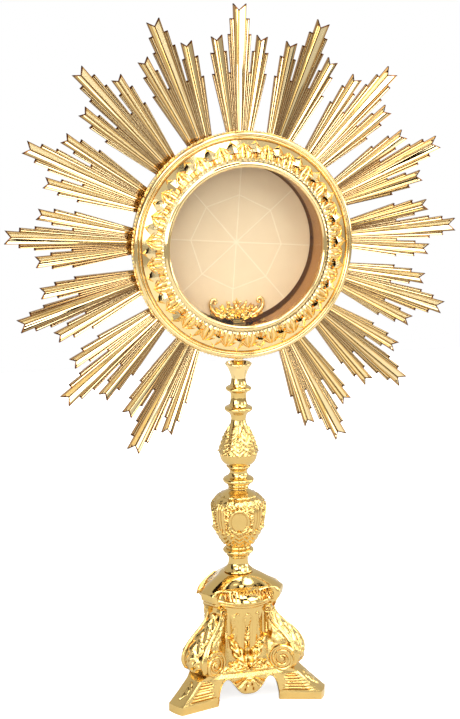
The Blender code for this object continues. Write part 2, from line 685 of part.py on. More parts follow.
clear_scene()
base_casting()
base_cap()
tie_rod_and_nut()
stem()
case_tenon()
case()
ray_clusters()
back_door()
lunette()
door_axis = hang_on("door_axis", (HINGE_X, HINGE_Y, GLORY_Z),
                    ["door_ring", "door_glass", "door_glass_ring", "hinge_leaf_door"])
knob_axis = hang_on("knob_axis", (KNOB_X, AXIS_Y, GLORY_Z), ["door_knob", "door_catch"])
knob_axis.parent = door_axis
knob_axis.matrix_parent_inverse = Matrix.Translation(door_axis.location).inverted()
hang_on("lunette_slide", (0, AXIS_Y, GLORY_Z), ["host", "lunette_front", "lunette_back", "lunette_runner"])
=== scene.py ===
import math

import bmesh
import bpy
import numpy as np
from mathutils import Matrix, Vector


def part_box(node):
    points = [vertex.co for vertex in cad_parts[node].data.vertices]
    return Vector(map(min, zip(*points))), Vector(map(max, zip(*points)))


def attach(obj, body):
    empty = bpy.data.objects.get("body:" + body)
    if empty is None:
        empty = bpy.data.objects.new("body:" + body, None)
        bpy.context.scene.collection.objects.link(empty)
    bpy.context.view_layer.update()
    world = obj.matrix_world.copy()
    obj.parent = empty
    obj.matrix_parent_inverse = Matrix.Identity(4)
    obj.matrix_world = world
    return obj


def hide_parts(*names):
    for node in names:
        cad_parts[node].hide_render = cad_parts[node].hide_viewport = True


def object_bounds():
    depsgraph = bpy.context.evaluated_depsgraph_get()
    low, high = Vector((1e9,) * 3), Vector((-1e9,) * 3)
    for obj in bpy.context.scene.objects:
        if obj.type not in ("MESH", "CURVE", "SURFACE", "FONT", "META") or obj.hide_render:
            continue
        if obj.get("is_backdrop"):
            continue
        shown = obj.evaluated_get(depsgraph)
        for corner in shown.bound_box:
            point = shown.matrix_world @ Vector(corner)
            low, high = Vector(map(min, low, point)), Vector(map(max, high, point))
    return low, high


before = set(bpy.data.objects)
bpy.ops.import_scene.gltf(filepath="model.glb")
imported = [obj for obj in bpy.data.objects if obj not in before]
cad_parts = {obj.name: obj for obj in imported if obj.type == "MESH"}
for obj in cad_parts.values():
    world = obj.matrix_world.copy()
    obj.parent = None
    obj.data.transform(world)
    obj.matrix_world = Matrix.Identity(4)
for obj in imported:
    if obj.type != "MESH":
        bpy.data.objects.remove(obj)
cad_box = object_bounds()


# ------------------------------------------------------------------ node trees
# Short ways to build the finishes, the light tent and the trees that copy a piece.
def feed(tree, target, inputs):
    """Give each input of a node a value, or link it to the socket that is given."""
    for name, value in inputs.items():
        if isinstance(value, bpy.types.NodeSocket):
            tree.links.new(value, target.inputs[name])
        else:
            target.inputs[name].default_value = value


def add_node(tree, kind, inputs=None, **fields):
    """Add a node, set its fields and then its inputs."""
    node = tree.nodes.new(kind)
    for field, value in fields.items():
        setattr(node, field, value)
    feed(tree, node, inputs or {})
    return node


def calculate(tree, operation, *values):
    """One step of arithmetic on sockets or numbers."""
    return add_node(tree, "ShaderNodeMath", dict(enumerate(values)), operation=operation).outputs["Value"]


def map_range(tree, value, from_min, from_max, to_min=0.0, to_max=1.0, kind="LINEAR"):
    """A value carried over from one range to another."""
    inputs = {"Value": value, "From Min": from_min, "From Max": from_max, "To Min": to_min, "To Max": to_max}
    return add_node(tree, "ShaderNodeMapRange", inputs, interpolation_type=kind).outputs["Result"]


def mix_colors(tree, factor, first, second):
    """A mix of two colours, each a socket or a colour with its alpha."""
    inputs = {"Factor": factor, "A": first, "B": second}
    return add_node(tree, "ShaderNodeMix", inputs, data_type="RGBA").outputs["Result"]


def mix_surface(tree, factor, first, second):
    """Make a mix of two shaders the surface of a finish."""
    inputs = {"Fac": factor, 1: first.outputs["BSDF"], 2: second.outputs["BSDF"]}
    mix = add_node(tree, "ShaderNodeMixShader", inputs)
    feed(tree, tree.nodes["Material Output"], {"Surface": mix.outputs["Shader"]})


def new_finish(name):
    """A finish, its node tree and its surface shader."""
    finish = bpy.data.materials.new(name)
    finish.use_nodes = True
    return finish, finish.node_tree, finish.node_tree.nodes["Principled BSDF"]


def new_group(name, kind, inputs, outputs):
    """A node group with named sockets: the group, the sockets it is given and its output node."""
    group = bpy.data.node_groups.new(name, kind)
    for way, sockets in (("INPUT", inputs), ("OUTPUT", outputs)):
        for socket, socket_kind in sockets.items():
            group.interface.new_socket(socket, in_out=way, socket_type=f"NodeSocket{socket_kind}")
    given = add_node(group, "NodeGroupInput").outputs
    return group, given, add_node(group, "NodeGroupOutput")


def full_turn(count):
    """Evenly spaced angles of one full turn."""
    return np.linspace(0, 2 * math.pi, count, endpoint=False)

# ------------------------------------------------------------------ studio
# A pale floor, a light tent that is darker above and behind the camera, and two soft boxes.
# The camera stands a little to the left of the monstrance and looks slightly down on it.
knop_low, knop_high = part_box("lower_knop")
bezel_low, bezel_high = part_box("front_bezel")
AXIS_Y = (knop_low.y + knop_high.y) / 2
GLORY = Vector((0.0, AXIS_Y, (bezel_low.z + bezel_high.z) / 2))

CAMERA_PLACE = Vector((-0.3781, AXIS_Y - 1.3062, 0.6041))
CAMERA_FORWARD = Vector((0.2671, 0.9440, -0.1935))
camera_data = bpy.data.cameras.new("camera")
camera_data.sensor_width = 36.0
camera_data.lens = 72.1
camera_data.clip_start = 0.05
camera = bpy.data.objects.new("camera", camera_data)
camera.location = CAMERA_PLACE
camera.rotation_euler = CAMERA_FORWARD.to_track_quat("-Z", "Y").to_euler()
bpy.context.collection.objects.link(camera)
bpy.context.scene.camera = camera
bpy.context.scene.view_settings.view_transform = "Standard"

FLOOR_HALF = 1.6
floor_mesh = bpy.data.meshes.new("floor")
corners = [(-FLOOR_HALF, -FLOOR_HALF, 0), (FLOOR_HALF, -FLOOR_HALF, 0),
           (FLOOR_HALF, FLOOR_HALF, 0), (-FLOOR_HALF, FLOOR_HALF, 0)]
floor_mesh.from_pydata(corners, [], [(0, 1, 2, 3)])
floor = bpy.data.objects.new("floor", floor_mesh)
bpy.context.collection.objects.link(floor)
floor_paint, floor_tree, floor_shader = new_finish("floor_paint")
floor_seen = add_node(floor_tree, "ShaderNodeLightPath").outputs["Is Camera Ray"]
FLOOR_LIFT = 0.75
feed(floor_tree, floor_shader, {
    "Base Color": (0.66, 0.655, 0.64, 1), "Roughness": 0.7, "Emission Color": (1, 1, 1, 1),
    "Emission Strength": calculate(floor_tree, "MULTIPLY", floor_seen, FLOOR_LIFT)})
floor_mesh.materials.append(floor_paint)
floor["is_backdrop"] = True

world = bpy.data.worlds.new("tent")
world.use_nodes = True
bpy.context.scene.world = world
sky = world.node_tree
sky.nodes.clear()


def sky_edge(angle, centre, half, soft):
    """1 within half of the centre angle, 0 past the soft edge; all in degrees."""
    away = calculate(sky, "ABSOLUTE", calculate(sky, "SUBTRACT", angle, math.radians(centre)))
    return map_range(sky, away, math.radians(half + soft), math.radians(half), kind="SMOOTHSTEP")


def sky_window(azimuth, half_azimuth, elevation, half_elevation, soft):
    """A soft-edged window of the tent; azimuth 0 is straight in front, positive to the right."""
    return calculate(sky, "MULTIPLY", sky_edge(sky_azimuth, azimuth, half_azimuth, soft),
                     sky_edge(sky_elevation, elevation, half_elevation, soft))


def sky_lamp(direction, half):
    """A round window about a direction, with a narrow soft edge."""
    facing = add_node(sky, "ShaderNodeVectorMath", {0: sky_place, 1: Vector(direction).normalized()},
                      operation="DOT_PRODUCT").outputs["Value"]
    soft_edge = math.cos(math.radians(half + LAMP_SOFT_EDGE))
    return map_range(sky, facing, soft_edge, math.cos(math.radians(half)), kind="SMOOTHSTEP")


LAMP_SOFT_EDGE = 2
TENT_WHITE = (0.68, 0.68, 0.675)
ROOM_DARK = (0.020, 0.012, 0.008)
TABLE_EDGE = (0.46, 0.45, 0.43)
LAMP_WHITE = (6.0, 6.0, 6.0)
LAMP_SOFT = (3.0, 3.0, 3.0)
TENT_BRIGHT = (0.95, 0.95, 0.94)
# Each window: azimuth, half width, elevation, half height, soft edge, colour
SKY_WINDOWS = [
    (0, 180, -8, 7, 2, TABLE_EDGE),
    (-56, 16, 6, 6, 2, LAMP_WHITE),
    (86, 16, 6, 6, 2, LAMP_WHITE),
    (-20, 44, 66, 20, 3, ROOM_DARK),
    (-20, 8, 40, 12, 3, ROOM_DARK),
    (5, 9, 36, 12, 2, LAMP_WHITE),
    (-37, 18, 45, 14, 2, LAMP_WHITE),
    (-88, 10, 26, 24, 4, ROOM_DARK),
    (72, 7, 38, 11, 2, LAMP_SOFT),
    (83, 3, 38, 10, 2, ROOM_DARK),
    (93, 5, 38, 12, 2, LAMP_WHITE),
    (42, 17, 52, 12.5, 2, LAMP_WHITE),
    (70, 14, 18, 7, 2, TENT_BRIGHT),
]
# Each round window overhead: direction, half angle in degrees, colour
SKY_LAMPS = [
    ((-0.10, 0.02, 1.0), 23, ROOM_DARK),
    ((0.01, -0.19, 0.98), 9, LAMP_WHITE),
    ((-0.36, -0.10, 0.93), 7, TENT_BRIGHT),
    ((0.40, 0.10, 0.90), 10, TENT_BRIGHT),
]
sky_place = add_node(sky, "ShaderNodeTexCoord").outputs["Generated"]
sky_parts = add_node(sky, "ShaderNodeSeparateXYZ", {"Vector": sky_place}).outputs
sky_azimuth = calculate(sky, "ARCTAN2", sky_parts["X"], calculate(sky, "MULTIPLY", sky_parts["Y"], -1))
sky_elevation = calculate(sky, "ARCSINE", sky_parts["Z"])
tent_color = (*TENT_WHITE, 1)
for *window, color in SKY_WINDOWS:
    tent_color = mix_colors(sky, sky_window(*window), tent_color, (*color, 1))
for *lamp, color in SKY_LAMPS:
    tent_color = mix_colors(sky, sky_lamp(*lamp), tent_color, (*color, 1))
seen_directly = add_node(sky, "ShaderNodeLightPath").outputs["Is Camera Ray"]
seen_color = mix_colors(sky, seen_directly, tent_color, (1, 1, 1, 1))
background = add_node(sky, "ShaderNodeBackground", {"Color": seen_color})
add_node(sky, "ShaderNodeOutputWorld", {"Surface": background.outputs["Background"]})

# Each soft box: place, power in watts
SOFT_BOXES = [((-0.75, -1.6, 0.62), 3), ((0.90, -1.48, 0.68), 2.6)]
SOFT_BOX_SIZE = 0.5
for number, (place, power) in enumerate(SOFT_BOXES):
    lamp_data = bpy.data.lights.new(f"soft_box_{number}", "AREA")
    lamp_data.size = SOFT_BOX_SIZE
    lamp_data.energy = power
    lamp = bpy.data.objects.new(f"soft_box_{number}", lamp_data)
    lamp.location = place
    lamp.rotation_euler = (GLORY - Vector(place)).to_track_quat("-Z", "Y").to_euler()
    bpy.context.collection.objects.link(lamp)


# ------------------------------------------------------------------ hollow foot
# One brass casting on three console legs, fire-gilt: scrolled straps with leaves, reeded toes
# and bowed panels that end below in a shell between two arches. It stands on its three toes.
def gilding_group():
    """Colour, roughness and height of gilt brass: cloudy plating, fine scratches, and painted shade in
    recesses.
    """
    group, given, result = new_group(
        "gilding", "ShaderNodeTree",
        {"Gold": "Color", "Cloud and Shade Gold": "Color", "Polish": "Float", "Cloud Size": "Float"},
        {"Color": "Color", "Roughness": "Float", "Height": "Float"})
    place = add_node(group, "ShaderNodeTexCoord").outputs["Object"]
    cloud_inputs = {"Vector": place, "Scale": given["Cloud Size"], "Detail": 3}
    clouds = add_node(group, "ShaderNodeTexNoise", cloud_inputs).outputs["Fac"]
    grain = add_node(group, "ShaderNodeTexNoise", {"Vector": place, "Scale": 900, "Detail": 2})
    pointed = add_node(group, "ShaderNodeNewGeometry").outputs["Pointiness"]
    # Painted shade: concave creases and recesses (low pointiness) are mixed towards the darker gold, together
    # with the random clouds of the plating.
    painted_recess_shade = map_range(group, pointed, 0.496, 0.450)
    cloud_and_shade = calculate(group, "MAXIMUM", painted_recess_shade, map_range(group, clouds, 0.35, 0.75, 0.0, 0.10))
    worn = map_range(group, clouds, 0.0, 1.0, 0.7, 1.35)
    feed(group, result, {
        "Color": mix_colors(group, cloud_and_shade, given["Gold"], given["Cloud and Shade Gold"]),
        "Roughness": calculate(group, "MULTIPLY", worn, given["Polish"]),
        "Height": grain.outputs["Fac"]})
    return group


gilding = gilding_group()


def gilt(name, gold, cloud_and_shade, polish, cloud_size, bump):
    """A gilt finish: the plating group drives a metal shader, with a fine grain as bump."""
    finish, tree, shader = new_finish(name)
    inputs = {"Gold": (*gold, 1), "Cloud and Shade Gold": (*cloud_and_shade, 1), "Polish": polish, "Cloud Size": cloud_size}
    plating = add_node(tree, "ShaderNodeGroup", inputs, node_tree=gilding).outputs
    grain = add_node(tree, "ShaderNodeBump",
                     {"Height": plating["Height"], "Distance": bump, "Strength": 0.25})
    feed(tree, shader, {"Metallic": 1.0, "Base Color": plating["Color"], "Roughness": plating["Roughness"],
                        "Normal": grain.outputs["Normal"]})
    return finish


GOLD = (0.96, 0.73, 0.35)
CLOUD_AND_SHADE_GOLD = (0.62, 0.32, 0.06)
CAST_GOLD = (0.76, 0.535, 0.195)
cast_gold = gilt("cast_gold", CAST_GOLD, (0.50, 0.25, 0.05), 0.15, 60, 0.0004)


def to_piece(name, points, faces, finish, smooth=38):
    """A mesh object from points and faces, merged, faces outward, smooth below an edge angle."""
    bm = bmesh.new()
    verts = [bm.verts.new(point) for point in points]
    for face in faces:
        bm.faces.new([verts[index] for index in face])
    bmesh.ops.remove_doubles(bm, verts=bm.verts, dist=2e-6)
    bmesh.ops.dissolve_degenerate(bm, edges=bm.edges, dist=1e-6)
    bmesh.ops.recalc_face_normals(bm, faces=bm.faces)
    mesh = bpy.data.meshes.new(name)
    bm.to_mesh(mesh)
    bm.free()
    mesh.materials.append(finish)
    mesh.shade_smooth()
    mesh.set_sharp_from_angle(angle=math.radians(smooth))
    piece = bpy.data.objects.new(name, mesh)
    bpy.context.collection.objects.link(piece)
    return piece


def skin_faces(count, around, closed):
    """Quads over rows of points, each row a loop; closed joins the last row to the first."""
    index = np.arange(count * around).reshape(count, around)
    lower = index if closed else index[:-1]
    upper = np.roll(index, -1, axis=0) if closed else index[1:]
    quads = [lower, np.roll(lower, -1, axis=1), np.roll(upper, -1, axis=1), upper]
    return np.stack(quads, axis=-1).reshape(-1, 4).tolist()


def skin(name, rows, finish, closed=True, smooth=38):
    rows = np.asarray(rows, float)
    faces = skin_faces(rows.shape[0], rows.shape[1], closed)
    return to_piece(name, rows.reshape(-1, 3).tolist(), faces, finish, smooth)


def install(piece, body, slot, *nodes):
    """Fix a finished piece to its body, and let it stand for the nodes it replaces."""
    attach(piece, body)
    if nodes:
        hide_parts(*nodes)


def leaf_relief(across, along, lobes):
    """Height 0 to 1 of an acanthus leaf over its length (0 to 1) and half width (-1 to 1)."""
    share = np.clip(along, 0.001, 0.999)
    width = np.sin(math.pi * share ** 0.8) ** 0.7
    edge = width * (0.70 + 0.30 * np.abs(np.cos(math.pi * lobes * share)))
    side = np.abs(across) / np.maximum(edge, 1e-4)
    body = np.sqrt(np.clip(1 - side ** 2, 0, 1))
    veins = 0.80 + 0.20 * np.cos(2 * math.pi * lobes * (share - 0.30 * np.abs(across)))
    midrib = 0.30 * np.exp(-(across / 0.10) ** 2)
    inside = (along > 0) & (along < 1) & (side < 1)
    return np.where(inside, body * veins + midrib * np.minimum(1, body * 3), 0)


LEG_TURNS = [math.radians(angle) for angle in (90, 210, 330)]
# Height, leg reach, half strap width, inner corner of the leg (along, across), panel distance
FOOT_SECTIONS = np.array([
    (0.0000, 0.0880, 0.0095, 0.0470, 0.0192, 0.0400),
    (0.0080, 0.0880, 0.0095, 0.0470, 0.0192, 0.0400),
    (0.0092, 0.0862, 0.0094, 0.0468, 0.0190, 0.0399),
    (0.0175, 0.0755, 0.0090, 0.0465, 0.0182, 0.0395),
    (0.0270, 0.0640, 0.0088, 0.0460, 0.0173, 0.0385),
    (0.0308, 0.0575, 0.0120, 0.0420, 0.0170, 0.0360),
    (0.0388, 0.0638, 0.0160, 0.0350, 0.0165, 0.0325),
    (0.0465, 0.0650, 0.0160, 0.0330, 0.0160, 0.0315),
    (0.0550, 0.0622, 0.0150, 0.0320, 0.0145, 0.0310),
    (0.0647, 0.0542, 0.0130, 0.0310, 0.0125, 0.0313),
    (0.0730, 0.0429, 0.0110, 0.0303, 0.0108, 0.0325),
    (0.0816, 0.0350, 0.0102, 0.0300, 0.0098, 0.0333),
    (0.0942, 0.0330, 0.0095, 0.0305, 0.0095, 0.0345),
])
FOOT_TOP = FOOT_SECTIONS[-1, 0]
FOOT_PLATE = 0.0030
FOOT_WALL = (0.0032, 0.0028, 0.0015, 0.0028, 0.0028)
ARCH_ZONE = 0.0308
ARCH_SPRING = 0.0311        # where an arch springs from a foot, from the middle of the panel
ARCH_PEAK_X = 0.0213
ARCH_PEAK = 0.0255
SHELL_LOW = 0.0095
SHELL_ROUND = 1.6
ROD_HOLE = 0.0040
COS30 = math.cos(math.radians(30))


def arch_height(lateral):
    """Lower edge of a panel: the shell between two arches that spring from the feet."""
    if lateral >= ARCH_SPRING - 1e-6:
        return 0.0
    if lateral > ARCH_PEAK_X:
        return ARCH_PEAK * math.sqrt(1 - ((lateral - ARCH_PEAK_X) / (ARCH_SPRING - ARCH_PEAK_X)) ** 2)
    rise = (1 - math.cos(math.pi * (lateral / ARCH_PEAK_X) ** SHELL_ROUND)) / 2
    return SHELL_LOW + (ARCH_PEAK - SHELL_LOW) * rise


def foot_section(height, column):
    """A value of the section table; above the toes the corners of the table are rounded off."""
    soft = 0.0045 * np.clip((height - ARCH_ZONE) / 0.008, 0, 1)
    table_heights, values = FOOT_SECTIONS[:, 0], FOOT_SECTIONS[:, column]
    taps = [np.interp(np.minimum(height + soft * shift, FOOT_TOP), table_heights, values)
            for shift in (-1, -0.6, -0.2, 0.2, 0.6, 1)]
    return np.mean(taps, axis=0)


def ridge(value, centre, half_width):
    """A rounded ridge, 1 at its centre line."""
    return np.sqrt(np.clip(1 - ((value - centre) / half_width) ** 2, 0, 1))


def strap_relief(part, across, height):
    """Two edge fillets and a leafy field between them, on the outer strap of a leg."""
    edge = np.abs(part)
    console = np.clip((height - 0.033) / 0.003, 0, 1) * np.clip((0.092 - height) / 0.003, 0, 1)
    fillets = 0.0016 * ridge(edge, 0.88, 0.11) - 0.0006 * (edge < 0.76)
    long_leaf = leaf_relief(across / 0.0105, (0.087 - height) / 0.050, 5)
    low_leaf = leaf_relief(across / 0.0100, (height - 0.034) / 0.022, 3)
    field = 0.0032 * np.maximum(long_leaf, low_leaf) * (edge < 0.78)
    toe = leaf_relief(across / 0.0060, (0.0255 - height) / 0.0130, 3)
    return console * (fillets + field) + 0.0009 * toe


def side_relief(part, height):
    """Sunk, reeded panel on the side of a toe, and a raised edge along the console."""
    toe = (height > 0.0100) & (height < 0.0255) & (part > 0.17) & (part < 0.86 - (height - 0.010) * 10)
    reeds = 0.0012 * np.abs(np.sin(math.pi * (height - 0.0100) / 0.0026))
    sunk = np.where(toe, -0.0018 + reeds, 0)
    leaf = leaf_relief((part - 0.52) / 0.34, (0.088 - height) / 0.044, 5)
    rim = 0.0018 * leaf + 0.0014 * ridge(part, 0.07, 0.08) * np.clip((height - 0.036) / 0.004, 0, 1)
    return sunk + rim * np.clip((0.090 - height) / 0.003, 0, 1)


def panel_relief(lateral, height):
    """Acanthus spray, bell drops and the ribbed shell below them, on a panel between two legs."""
    relief = np.zeros_like(height)
    # Each leaf: foot (lateral, height), turn from upright in degrees, length, half width, depth
    for foot_x, foot_z, turn, length, half, depth in [
            (0.0010, 0.0335, 27, 0.0370, 0.0056, 0.0058), (0.0015, 0.0335, 70, 0.0190, 0.0042, 0.0030),
            (0.0004, 0.0360, 2, 0.0270, 0.0020, 0.0028), (0.0060, 0.0345, 94, 0.0170, 0.0034, 0.0022),
            (0.0100, 0.0905, 174, 0.0300, 0.0040, 0.0016), (0.0000, 0.0905, 180, 0.0150, 0.0036, 0.0015)]:
        for side in (1, -1):
            out = side * lateral - foot_x
            up = height - foot_z
            sine, cosine = math.sin(math.radians(turn)), math.cos(math.radians(turn))
            along = (out * sine + up * cosine) / length
            across = (out * cosine - up * sine) / half
            relief = np.maximum(relief, depth * leaf_relief(across, along, 4))
    for drop, size in [(0.0640, 0.0024), (0.0688, 0.0020), (0.0728, 0.0016), (0.0760, 0.0013)]:
        ball = 1 - (lateral / size) ** 2 - ((height - drop) / (size * 1.15)) ** 2
        relief = np.maximum(relief, 0.0032 * np.sqrt(np.clip(ball, 0, 1)))
    from_hub = np.hypot(lateral, height - 0.0285)
    turn = np.arctan2(lateral, 0.0285 - height)
    ribs = np.abs(np.cos(turn * 5.5)) ** 0.6
    shell = np.clip((from_hub - 0.0020) / 0.0040, 0, 1) * np.clip((0.0178 - from_hub) / 0.0020, 0, 1)
    shell = shell * (np.abs(turn) < 1.15) * (height < 0.0285)
    edge = np.vectorize(arch_height)(np.abs(lateral))
    lip = 0.0012 * ridge(height - edge, 0.0014, 0.0014) * (height < ARCH_PEAK + 0.002)
    sill = 0.0010 * ridge(height, 0.0320, 0.0014) * (np.abs(lateral) < 0.026)
    drape = 0.0008 * np.abs(np.sin(lateral / 0.0027 * math.pi / 2))
    drape = drape * (np.abs(np.abs(lateral) - 0.012) < 0.0068)
    drape = drape * np.clip((height - 0.052) / 0.006, 0, 1) * np.clip((0.090 - height) / 0.004, 0, 1)
    return np.maximum(relief, drape) + 0.0028 * shell * ribs + lip + sill


def foot_loops(levels, wall):
    """Loops of the foot at the given levels; only the outside (no wall) carries relief."""
    strap_steps = np.linspace(0, 1, 17)
    side_steps = np.linspace(0, 1, 15)[1:]
    panel_steps = np.sin(np.linspace(math.pi / 2, 0, 37))[1:]
    kinds = ["strap"] * len(strap_steps) + ["side"] * len(side_steps) + ["panel"] * len(panel_steps)
    parts = np.concatenate([strap_steps, side_steps, panel_steps])
    along, across, heights, bumps = [], [], [], []
    for kind, part in zip(kinds, parts):
        low = arch_height(ARCH_SPRING * part) if kind == "panel" else 0.0
        height = np.where(levels >= ARCH_ZONE, levels, low + levels / ARCH_ZONE * (ARCH_ZONE - low))
        reach, strap, corner_along, corner_across, panel = [
            foot_section(height, column + 1) - wall * thick for column, thick in enumerate(FOOT_WALL)]
        if kind == "strap":
            out, over = reach - 0.0012 * part ** 2, strap * part
            bump = strap_relief(part, over, height)
        elif kind == "side":
            out = reach - 0.0012 + (corner_along - reach + 0.0012) * part
            over = strap + (corner_across - strap) * part
            bump = side_relief(part, height)
        else:
            corner_lateral = corner_along * COS30 - corner_across * 0.5
            corner_depth = corner_along * 0.5 + corner_across * COS30
            lateral = corner_lateral * part
            depth = panel - (panel - corner_depth) * part ** 2
            out = depth * 0.5 + lateral * COS30
            over = depth * COS30 - lateral * 0.5
            bump = panel_relief(lateral, height)
        along.append(out)
        across.append(over)
        heights.append(height)
        bumps.append(bump)
    along, across, heights, bumps = (np.array(values).T for values in (along, across, heights, bumps))
    half = slice(0, -1)
    along = np.concatenate([along[:, :0:-1], along[:, half]], axis=1)
    across = np.concatenate([-across[:, :0:-1], across[:, half]], axis=1)
    heights = np.concatenate([heights[:, :0:-1], heights[:, half]], axis=1)
    bumps = np.concatenate([bumps[:, :0:-1], bumps[:, half]], axis=1)
    legs = [np.stack([along * math.cos(turn) - across * math.sin(turn),
                      along * math.sin(turn) + across * math.cos(turn) + AXIS_Y, heights], axis=-1)
            for turn in LEG_TURNS]
    points = np.concatenate(legs, axis=1)
    if wall:
        return points
    upward = np.gradient(points, axis=0)
    onward = np.roll(points, -1, axis=1) - np.roll(points, 1, axis=1)
    outward = np.cross(onward, upward)
    outward /= np.maximum(np.linalg.norm(outward, axis=-1, keepdims=True), 1e-12)
    fade = np.clip(np.minimum(levels, FOOT_TOP - levels) / 0.0015, 0, 1)[:, None]
    return points + outward * (np.concatenate([bumps] * 3, axis=1) * fade)[..., None]


def hole_loop(like, radius, height):
    """A round loop about the stem axis whose points lie in the directions of another loop's."""
    flat = like[:, :2] - [0, AXIS_Y]
    flat = flat / np.linalg.norm(flat, axis=1, keepdims=True) * radius
    return np.column_stack([flat[:, 0], flat[:, 1] + AXIS_Y, np.full(len(flat), height)])


levels = np.concatenate([np.linspace(0, 0.0080, 6)[:-1], np.linspace(0.0080, ARCH_ZONE, 42)[:-1],
                         np.linspace(ARCH_ZONE, FOOT_TOP, 96)])
outside = foot_loops(levels, 0)
plate_under = FOOT_TOP - FOOT_PLATE
inside = foot_loops(np.append(FOOT_SECTIONS[:-1, 0], plate_under), 1)
bore_top = hole_loop(outside[-1], ROD_HOLE, FOOT_TOP)
bore_under = hole_loop(outside[-1], ROD_HOLE, plate_under)
foot = skin("foot_casting", [*outside, bore_top, bore_under, *inside[::-1]], cast_gold, smooth=50)
install(foot, "stand", "gilt_brass", "base_casting")


def swept(path, radii, sides=8):
    """Rows of a round bar along a path with a radius at each point, ends drawn to a point."""
    path = np.asarray(path, float)
    tangent = np.gradient(path, axis=0)
    tangent /= np.linalg.norm(tangent, axis=1, keepdims=True)
    side = np.cross(tangent[0], (0.13, 0.21, 0.97))
    rows = []
    for point, forward, radius in zip(path, tangent, radii):
        side = side - forward * np.dot(side, forward)
        side /= np.linalg.norm(side)
        other = np.cross(forward, side)
        rows.append([point + radius * (side * math.cos(turn) + other * math.sin(turn))
                     for turn in full_turn(sides)])
    first = [path[0]] * sides
    last = [path[-1]] * sides
    return np.array([first] + rows + [last])


def gather(name, parts, finish, smooth=38):
    """One mesh from several grids of rows, each a closed body of its own."""
    points, faces = [], []
    for rows in parts:
        start = len(points)
        points += rows.reshape(-1, 3).tolist()
        quads = skin_faces(rows.shape[0], rows.shape[1], closed=False)
        faces += [[start + index for index in face] for face in quads]
    return to_piece(name, points, faces, finish, smooth)


def coat_copies(tree, given, result, points, rotation):
    """Set the piece on each of the points, make the copies real and give them their finish."""
    copies = add_node(tree, "GeometryNodeInstanceOnPoints",
                      {"Points": points, "Instance": given["Piece"], "Rotation": rotation})
    real = add_node(tree, "GeometryNodeRealizeInstances", {"Geometry": copies.outputs["Instances"]})
    coat = add_node(tree, "GeometryNodeSetMaterial",
                    {"Geometry": real.outputs["Geometry"], "Material": given["Finish"]})
    feed(tree, result, {"Copies": coat.outputs["Geometry"]})


def copies_tree():
    """Copies of a piece, turned about an axis through a centre, one pitch apart."""
    tree, given, result = new_group(
        "turned_copies", "GeometryNodeTree",
        {"Piece": "Geometry", "Count": "Int", "First Turn": "Float", "Pitch": "Float", "Axis": "Vector",
         "Centre": "Vector", "Finish": "Material"}, {"Copies": "Geometry"})
    spots = add_node(tree, "GeometryNodePoints", {"Count": given["Count"], "Position": given["Centre"]})
    index = add_node(tree, "GeometryNodeInputIndex").outputs["Index"]
    angle = calculate(tree, "MULTIPLY_ADD", index, given["Pitch"], given["First Turn"])
    turn = add_node(tree, "FunctionNodeAxisAngleToRotation", {"Axis": given["Axis"], "Angle": angle})
    coat_copies(tree, given, result, spots.outputs["Points"], turn.outputs["Rotation"])
    return tree


def run_tree(piece, tree, values):
    """Run a Geometry Nodes tree on a piece with named inputs, and keep the plain mesh it makes."""
    modifier = piece.modifiers.new(tree.name, "NODES")
    modifier.node_group = tree
    for item in tree.interface.items_tree:
        if item.in_out == "INPUT" and item.name in values:
            modifier[item.identifier] = values[item.name]
    bpy.context.view_layer.update()
    evaluated = piece.evaluated_get(bpy.context.evaluated_depsgraph_get())
    mesh = bpy.data.meshes.new_from_object(evaluated)
    piece.modifiers.clear()
    piece.data = mesh
    return piece


turned_copies = copies_tree()
ON_STEM = {"Axis": (0.0, 0.0, 1.0), "Centre": (0.0, AXIS_Y, 0.0)}
ON_LEGS = {**ON_STEM, "Count": 3, "First Turn": LEG_TURNS[0], "Pitch": math.radians(120)}

# Volutes: the strap of each leg rolls into a big scroll on both of its sides, and a small scroll
# closes it above, under the corner of the cap. Cast with the foot and chased afterwards.
BIG_SCROLL = (0.0490, 0.0425)
BIG_SCROLL_OUT = 0.0128
SMALL_SCROLL = (0.0325, 0.0905)
SMALL_SCROLL_OUT = 0.0046


def scroll(centre, radius, across, turns, bar, start):
    """A spiral bar on a leg's side: from its outer end it winds in to the eye, thinner as it goes."""
    share = np.linspace(0, 1, int(turns * 28))
    reach = radius * (1 - share) ** 0.85 + bar * 0.4
    angle = start + turns * 2 * math.pi * share
    path = np.column_stack([centre[0] + reach * np.cos(angle),
                            across + 0.0012 * np.sign(across) * share,
                            centre[1] + reach * np.sin(angle)])
    return swept(path, bar * (1 - 0.60 * share), 8)


def boss(centre, radius, near, far):
    """A low round boss on a leg's side, domed on its outer face."""
    rise = far - near
    outline = [(0, near), (radius, near), (radius, far * 0.97 + near * 0.03), (radius * 0.9, far),
               (radius * 0.25, far), (radius * 0.18, far + rise * 0.35), (0, far + rise * 0.45)]
    turns = full_turn(40)
    return np.array([[(centre[0] + size * math.cos(turn), depth, centre[1] + size * math.sin(turn))
                      for turn in turns] for size, depth in outline])


scroll_parts = []
for side in (1, -1):
    scroll_parts.append(boss(BIG_SCROLL, 0.0118, side * 0.0120, side * 0.0172))
    scroll_parts.append(scroll(BIG_SCROLL, BIG_SCROLL_OUT, side * 0.0170, 2.6, 0.0018, math.radians(40)))
    scroll_parts.append(boss(SMALL_SCROLL, 0.0042, side * 0.0060, side * 0.0106))
    scroll_parts.append(scroll(SMALL_SCROLL, SMALL_SCROLL_OUT, side * 0.0105, 1.8, 0.0012, math.radians(60)))
scrolls = gather("leg_scrolls", scroll_parts, cast_gold)
run_tree(scrolls, turned_copies, {**ON_LEGS, "Finish": cast_gold})
install(scrolls, "stand", "gilt_brass")

